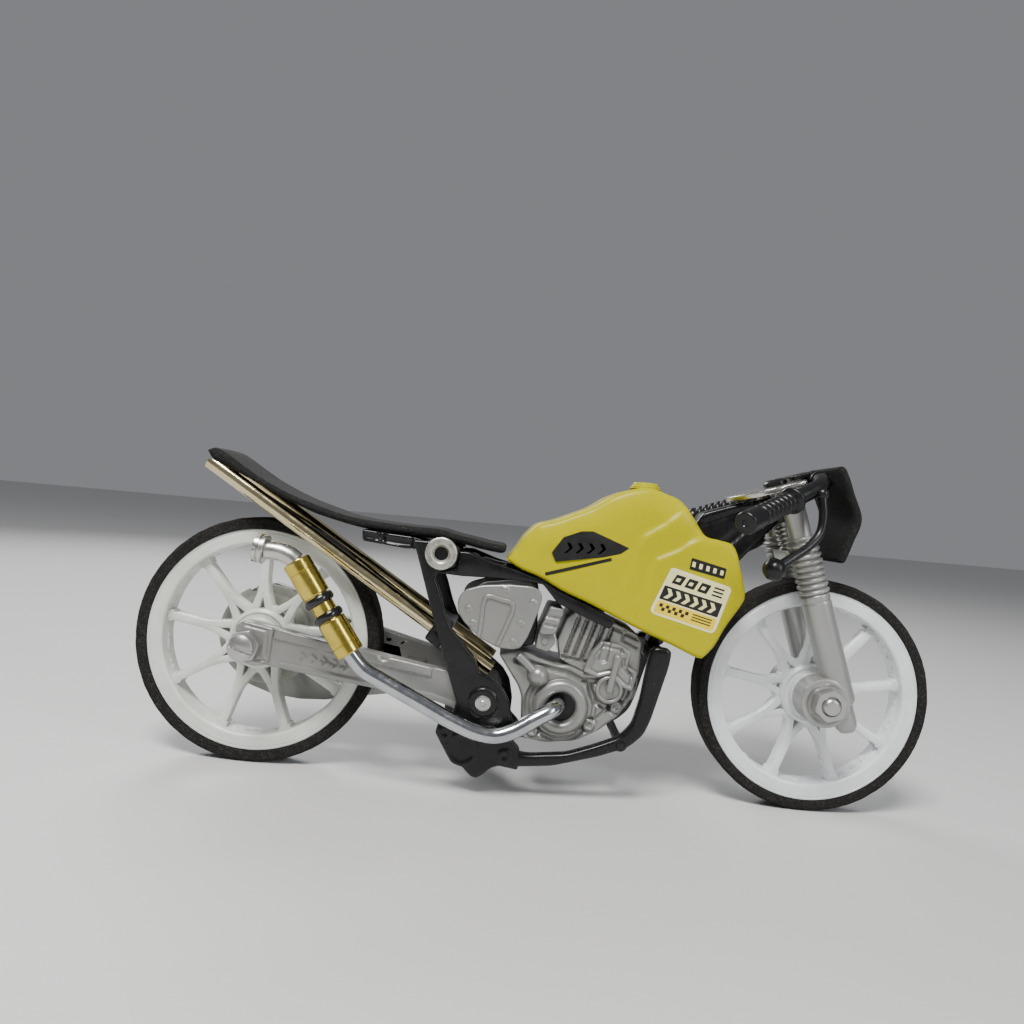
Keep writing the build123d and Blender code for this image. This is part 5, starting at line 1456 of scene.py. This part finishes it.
def tilt(outline, s0, s1, edge=0.25, **kw):
    """A plate lying across the steering axis; outline of (ahead, y)."""
    p = plate([(a, y_) for a, y_ in outline], s0, s1, edge=edge, **kw)
    o = M()
    o.v = [on_axis(y_, x, z) for x, y_, z in p.v]
    o.f, o.m = p.f, p.m
    return orient(o)


stem = tilt([(-2.4, -4.0), (2.4, -4.0), (2.4, 4.0), (-2.4, 4.0)], -8.8, -6.4, corner=0.5)
stem.join(lathe([(0, 0), (1.5, 0), (1.5, 11.9), (0, 11.9)], on_axis(-20.6), (DX, 0, DZ), 40))
stem.make("stem_and_brace", [FORK], "fork", ["steering_stem"], weld=0, angle=50)
hel = []
for i in range(5 * 24 + 1):
    a = 2 * math.pi * i / 24
    t = -13.85 + 4.75 * i / 120
    c = Vector(on_axis(t))
    u_, w_, _ = basis((DX, 0, DZ))
    hel.append(c + u_ * 1.9 * math.cos(a) + w_ * 1.9 * math.sin(a))
sweep(hel, 0.34, 12, capr=0.0).make("spring_coil", [STEEL], "fork", ["stem_spring"], weld=0, angle=60)
TOPP = [(3.0, -8.6)] + [(-2.0 - 8.2 * math.cos(math.radians(t)), 8.6 * math.sin(math.radians(t))) for t in range(-80, 81, 10)] + [(3.0, 8.6), (4.6, 5.0), (4.6, -5.0)]
tilt(TOPP, -21.7, -20.6, edge=0.2, corner=0.5, h=lambda x, z: -0.18 * step(0.3 - np.abs(disc(x, z, 0, -7.0) - 2.4), 0.3) - 0.18 * step(0.3 - np.abs(disc(x, z, 0, 7.0) - 2.4), 0.3), grid=0.3).make("top_clamp", [ALU], "fork", ["top_plate"], weld=0, angle=45)
cap = lathe([(0, 0.3), (0.6, 0.3), (0.75, 0.0), (1.4, 0.02), (2.0, 0.2), (2.3, 0.5), (2.3, 1.15), (2.15, 1.3), (0, 1.3)], on_axis(-23.0), (DX, 0, DZ), 48)
cap.make("cap_turned", [BLACK2], "fork", ["stem_cap"], angle=35)
BAR = [(52.6, 0, 65.2), (52.6, -5.5, 65.2), (51.2, -9.5, 63.8), (45.8, -12.5, 60.9)]
bl = [(52.6, 0, 65.2), (52.6, -2.6, 65.2), (52.55, -5.4, 65.15), (52.1, -7.6, 64.7), (51.0, -9.6, 63.75), (48.6, -11.1, 62.4), (45.8, -12.5, 60.9)]
bhalf = sweep(catmull(bl, 8), 1.5, 32, capr=0.0)
bar = M().join(bhalf).join(bhalf.flip())
bar.join(tilt([(2.7, -3.2), (7.4, -3.2), (7.4, 3.2), (2.7, 3.2)], -22.9, -21.7, edge=0.3, corner=0.4))
bar.join(plate([(53.0, 66.1), (55.45, 66.2), (56.2, 64.2), (53.0, 64.3)], -2.4, 2.4, edge=0.25, corner=0.3))
bar = bar.join(lathe([(0, -5.6), (1.7, -5.6), (1.78, -5.5), (1.78, -4.7), (1.7, -4.6), (0, -4.6)], (52.6, 0, 65.2), (0, 1, 0), 32)).join(lathe([(0, 4.6), (1.7, 4.6), (1.78, 4.7), (1.78, 5.5), (1.7, 5.6), (0, 5.6)], (52.6, 0, 65.2), (0, 1, 0), 32))
bar.make("bar_bent", [BLACK2], "fork", ["handlebar"], weld=0, angle=50)
GA, GB = Vector(BAR[-1]), Vector((32.9, -25.0, 55.3))
gd = (GB - GA).normalized()
GL = (GB - GA).length
gp = [(0, 0.9), (1.45, 0.9), (1.55, 1.0), (2.35, 1.4), (2.5, 1.55), (2.5, 2.1), (2.35, 2.25), (1.65, 2.65)]
for k in range(7):
    z0 = 3.0 + 1.55 * k
    gp += [(1.64, z0), (1.85, z0 + 0.14), (1.97, z0 + 0.4), (1.97, z0 + 1.0), (1.85, z0 + 1.26), (1.64, z0 + 1.4)]
gp += [(1.75, 14.2), (1.98, 14.4), (2.05, 14.7), (2.05, GL - 0.5), (1.95, GL - 0.15), (1.7, GL), (0.6, GL), (0.45, GL - 0.2), (0, GL - 0.2)]
both(lathe(gp, GA, gd, 56), "grip_ribbed", [BLACK2], "fork", ["grip_right"], ["grip_left"], weld=0, angle=50)
LV = [(50.9, -11.2, 62.6), (51.05, -11.6, 60.6), (51.3, -11.9, 58.0), (50.7, -12.4, 54.8), (48.2, -13.6, 52.0), (45.4, -14.7, 50.1), (42.6, -15.7, 48.2)]
lv = sweep(catmull(LV, 8), 0.95, 24, flat=1.0, radii=lambda t: 0.95 - 0.12 * math.sin(math.pi * t))
lv.join(sphere((41.6, -16.0, 47.6), 2.08, 0, 40, 20))
lv.join(sphere((51.0, -11.3, 62.2), 1.25, 0, 24, 12))
both(lv, "lever_curved", [BLACK2], "fork", ["lever_right"], ["lever_left"], weld=0, angle=50)

# number plate: foam sheet, bent like a shallow chevron in profile
NPT = [(56.5, 68.2), (58.4, 63.2), (60.3, 58.2), (59.2, 53.8), (58.0, 49.4)]
NPB = [(54.9, 67.9), (56.75, 62.95), (58.6, 58.0), (57.55, 53.9), (56.5, 49.8)]
npf = M()
v, rows = [], []
NN = 70
ft, fb_ = along(NPT, NN), along(NPB, NN)
for i in range(NN):
    t = i / (NN - 1)
    half = 8.6 * (1 - 0.10 * max(0, (t - 0.55) / 0.45) ** 2 - 0.10 * max(0, (0.2 - t) / 0.2) ** 2)
    ek = min(i, NN - 1 - i) / 3
    rd = 1.0 if ek >= 1 else 0.35 + 0.65 * math.sqrt(1 - (1 - ek) ** 2)
    cx_, cz_ = (ft[i][0] + fb_[i][0]) / 2, (ft[i][1] + fb_[i][1]) / 2
    row = []
    for sg in (1, -1):
        ycs = np.linspace(-half, half, 26)
        if sg < 0:
            ycs = ycs[::-1]
        for yc in ycs:
            e = min(abs(half - abs(yc)), 0.6) / 0.6
            k = (0.25 + 0.75 * math.sqrt(max(1 - (1 - e) ** 2, 0))) * rd
            px_, pz_ = ft[i] if sg > 0 else fb_[i]
            row.append(len(v))
            v.append((cx_ + (px_ - cx_) * k + rng.uniform(-0.03, 0.0), yc, cz_ + (pz_ - cz_) * k))
    rows.append(row)
f = []
n = len(rows[0])
for a_, b_ in zip(rows, rows[1:]):
    for k in range(n):
        f.append((a_[k], a_[(k + 1) % n], b_[(k + 1) % n], b_[k]))
f += [tuple(rows[0]), tuple(reversed(rows[-1]))]
npf.add(v, f)
no = orient(npf).make("plate_foam_sheet", [SEATM], "fork", ["number_plate"], angle=75)

# ------------------------------------------------------------------ floor, light, camera
floor_m = mat("studio floor", (0.62, 0.62, 0.615), 0.5)
bpy.ops.mesh.primitive_plane_add(size=6, location=(0, 0, 0))
floor = bpy.context.active_object
floor.name = "floor"
floor.data.materials.append(floor_m)
floor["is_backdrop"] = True
w = bpy.data.worlds.new("studio")
bpy.context.scene.world = w
w.use_nodes = True
bg = w.node_tree.nodes["Background"]
bg.inputs["Color"].default_value = (0.93, 0.95, 1.0, 1)
bg.inputs["Strength"].default_value = 0.24


def light(name, loc, target, size, power, color=(1, 1, 1)):
    d_ = bpy.data.lights.new(name, "AREA")
    d_.shape = "RECTANGLE"
    d_.size, d_.size_y = size
    d_.energy = power
    d_.color = color
    o = bpy.data.objects.new(name, d_)
    bpy.context.scene.collection.objects.link(o)
    o.location = loc
    o.rotation_euler = (Vector(target) - Vector(loc)).to_track_quat("-Z", "Y").to_euler()
    return o


light("key", (-0.10, -0.32, 0.55), (0, 0, 0.03), (0.24, 0.16), 5.6, (1.0, 0.98, 0.95))
light("fill", (0.42, -0.36, 0.28), (0, 0, 0.03), (0.12, 0.3), 1.1, (0.95, 0.97, 1.0))
light("rim", (-0.25, 0.42, 0.36), (0, 0, 0.04), (0.4, 0.16), 1.9)

cam = bpy.data.cameras.new("camera")
cam.sensor_width = 36
cam.lens = 27.04
cam.clip_start = 0.005
cam.clip_end = 20
co = bpy.data.objects.new("camera", cam)
bpy.context.scene.collection.objects.link(co)
al = math.radians(5.04)
R_ = Matrix(((math.cos(al), -math.sin(al), 0), (0, 0, -1), (math.sin(al), math.cos(al), 0)))
co.matrix_world = Matrix.Translation((-0.00651, -0.155, 0.0538)) @ R_.to_4x4()
bpy.context.scene.camera = co

lo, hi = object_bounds()
'{"cad_lo": [%s],\n "cad_hi": [%s],\n "all_lo": [%s],\n "all_hi": [%s]}\n' % tuple(", ".join("%.5f" % c for c in q) for q in (LO0, HI0, lo, hi))
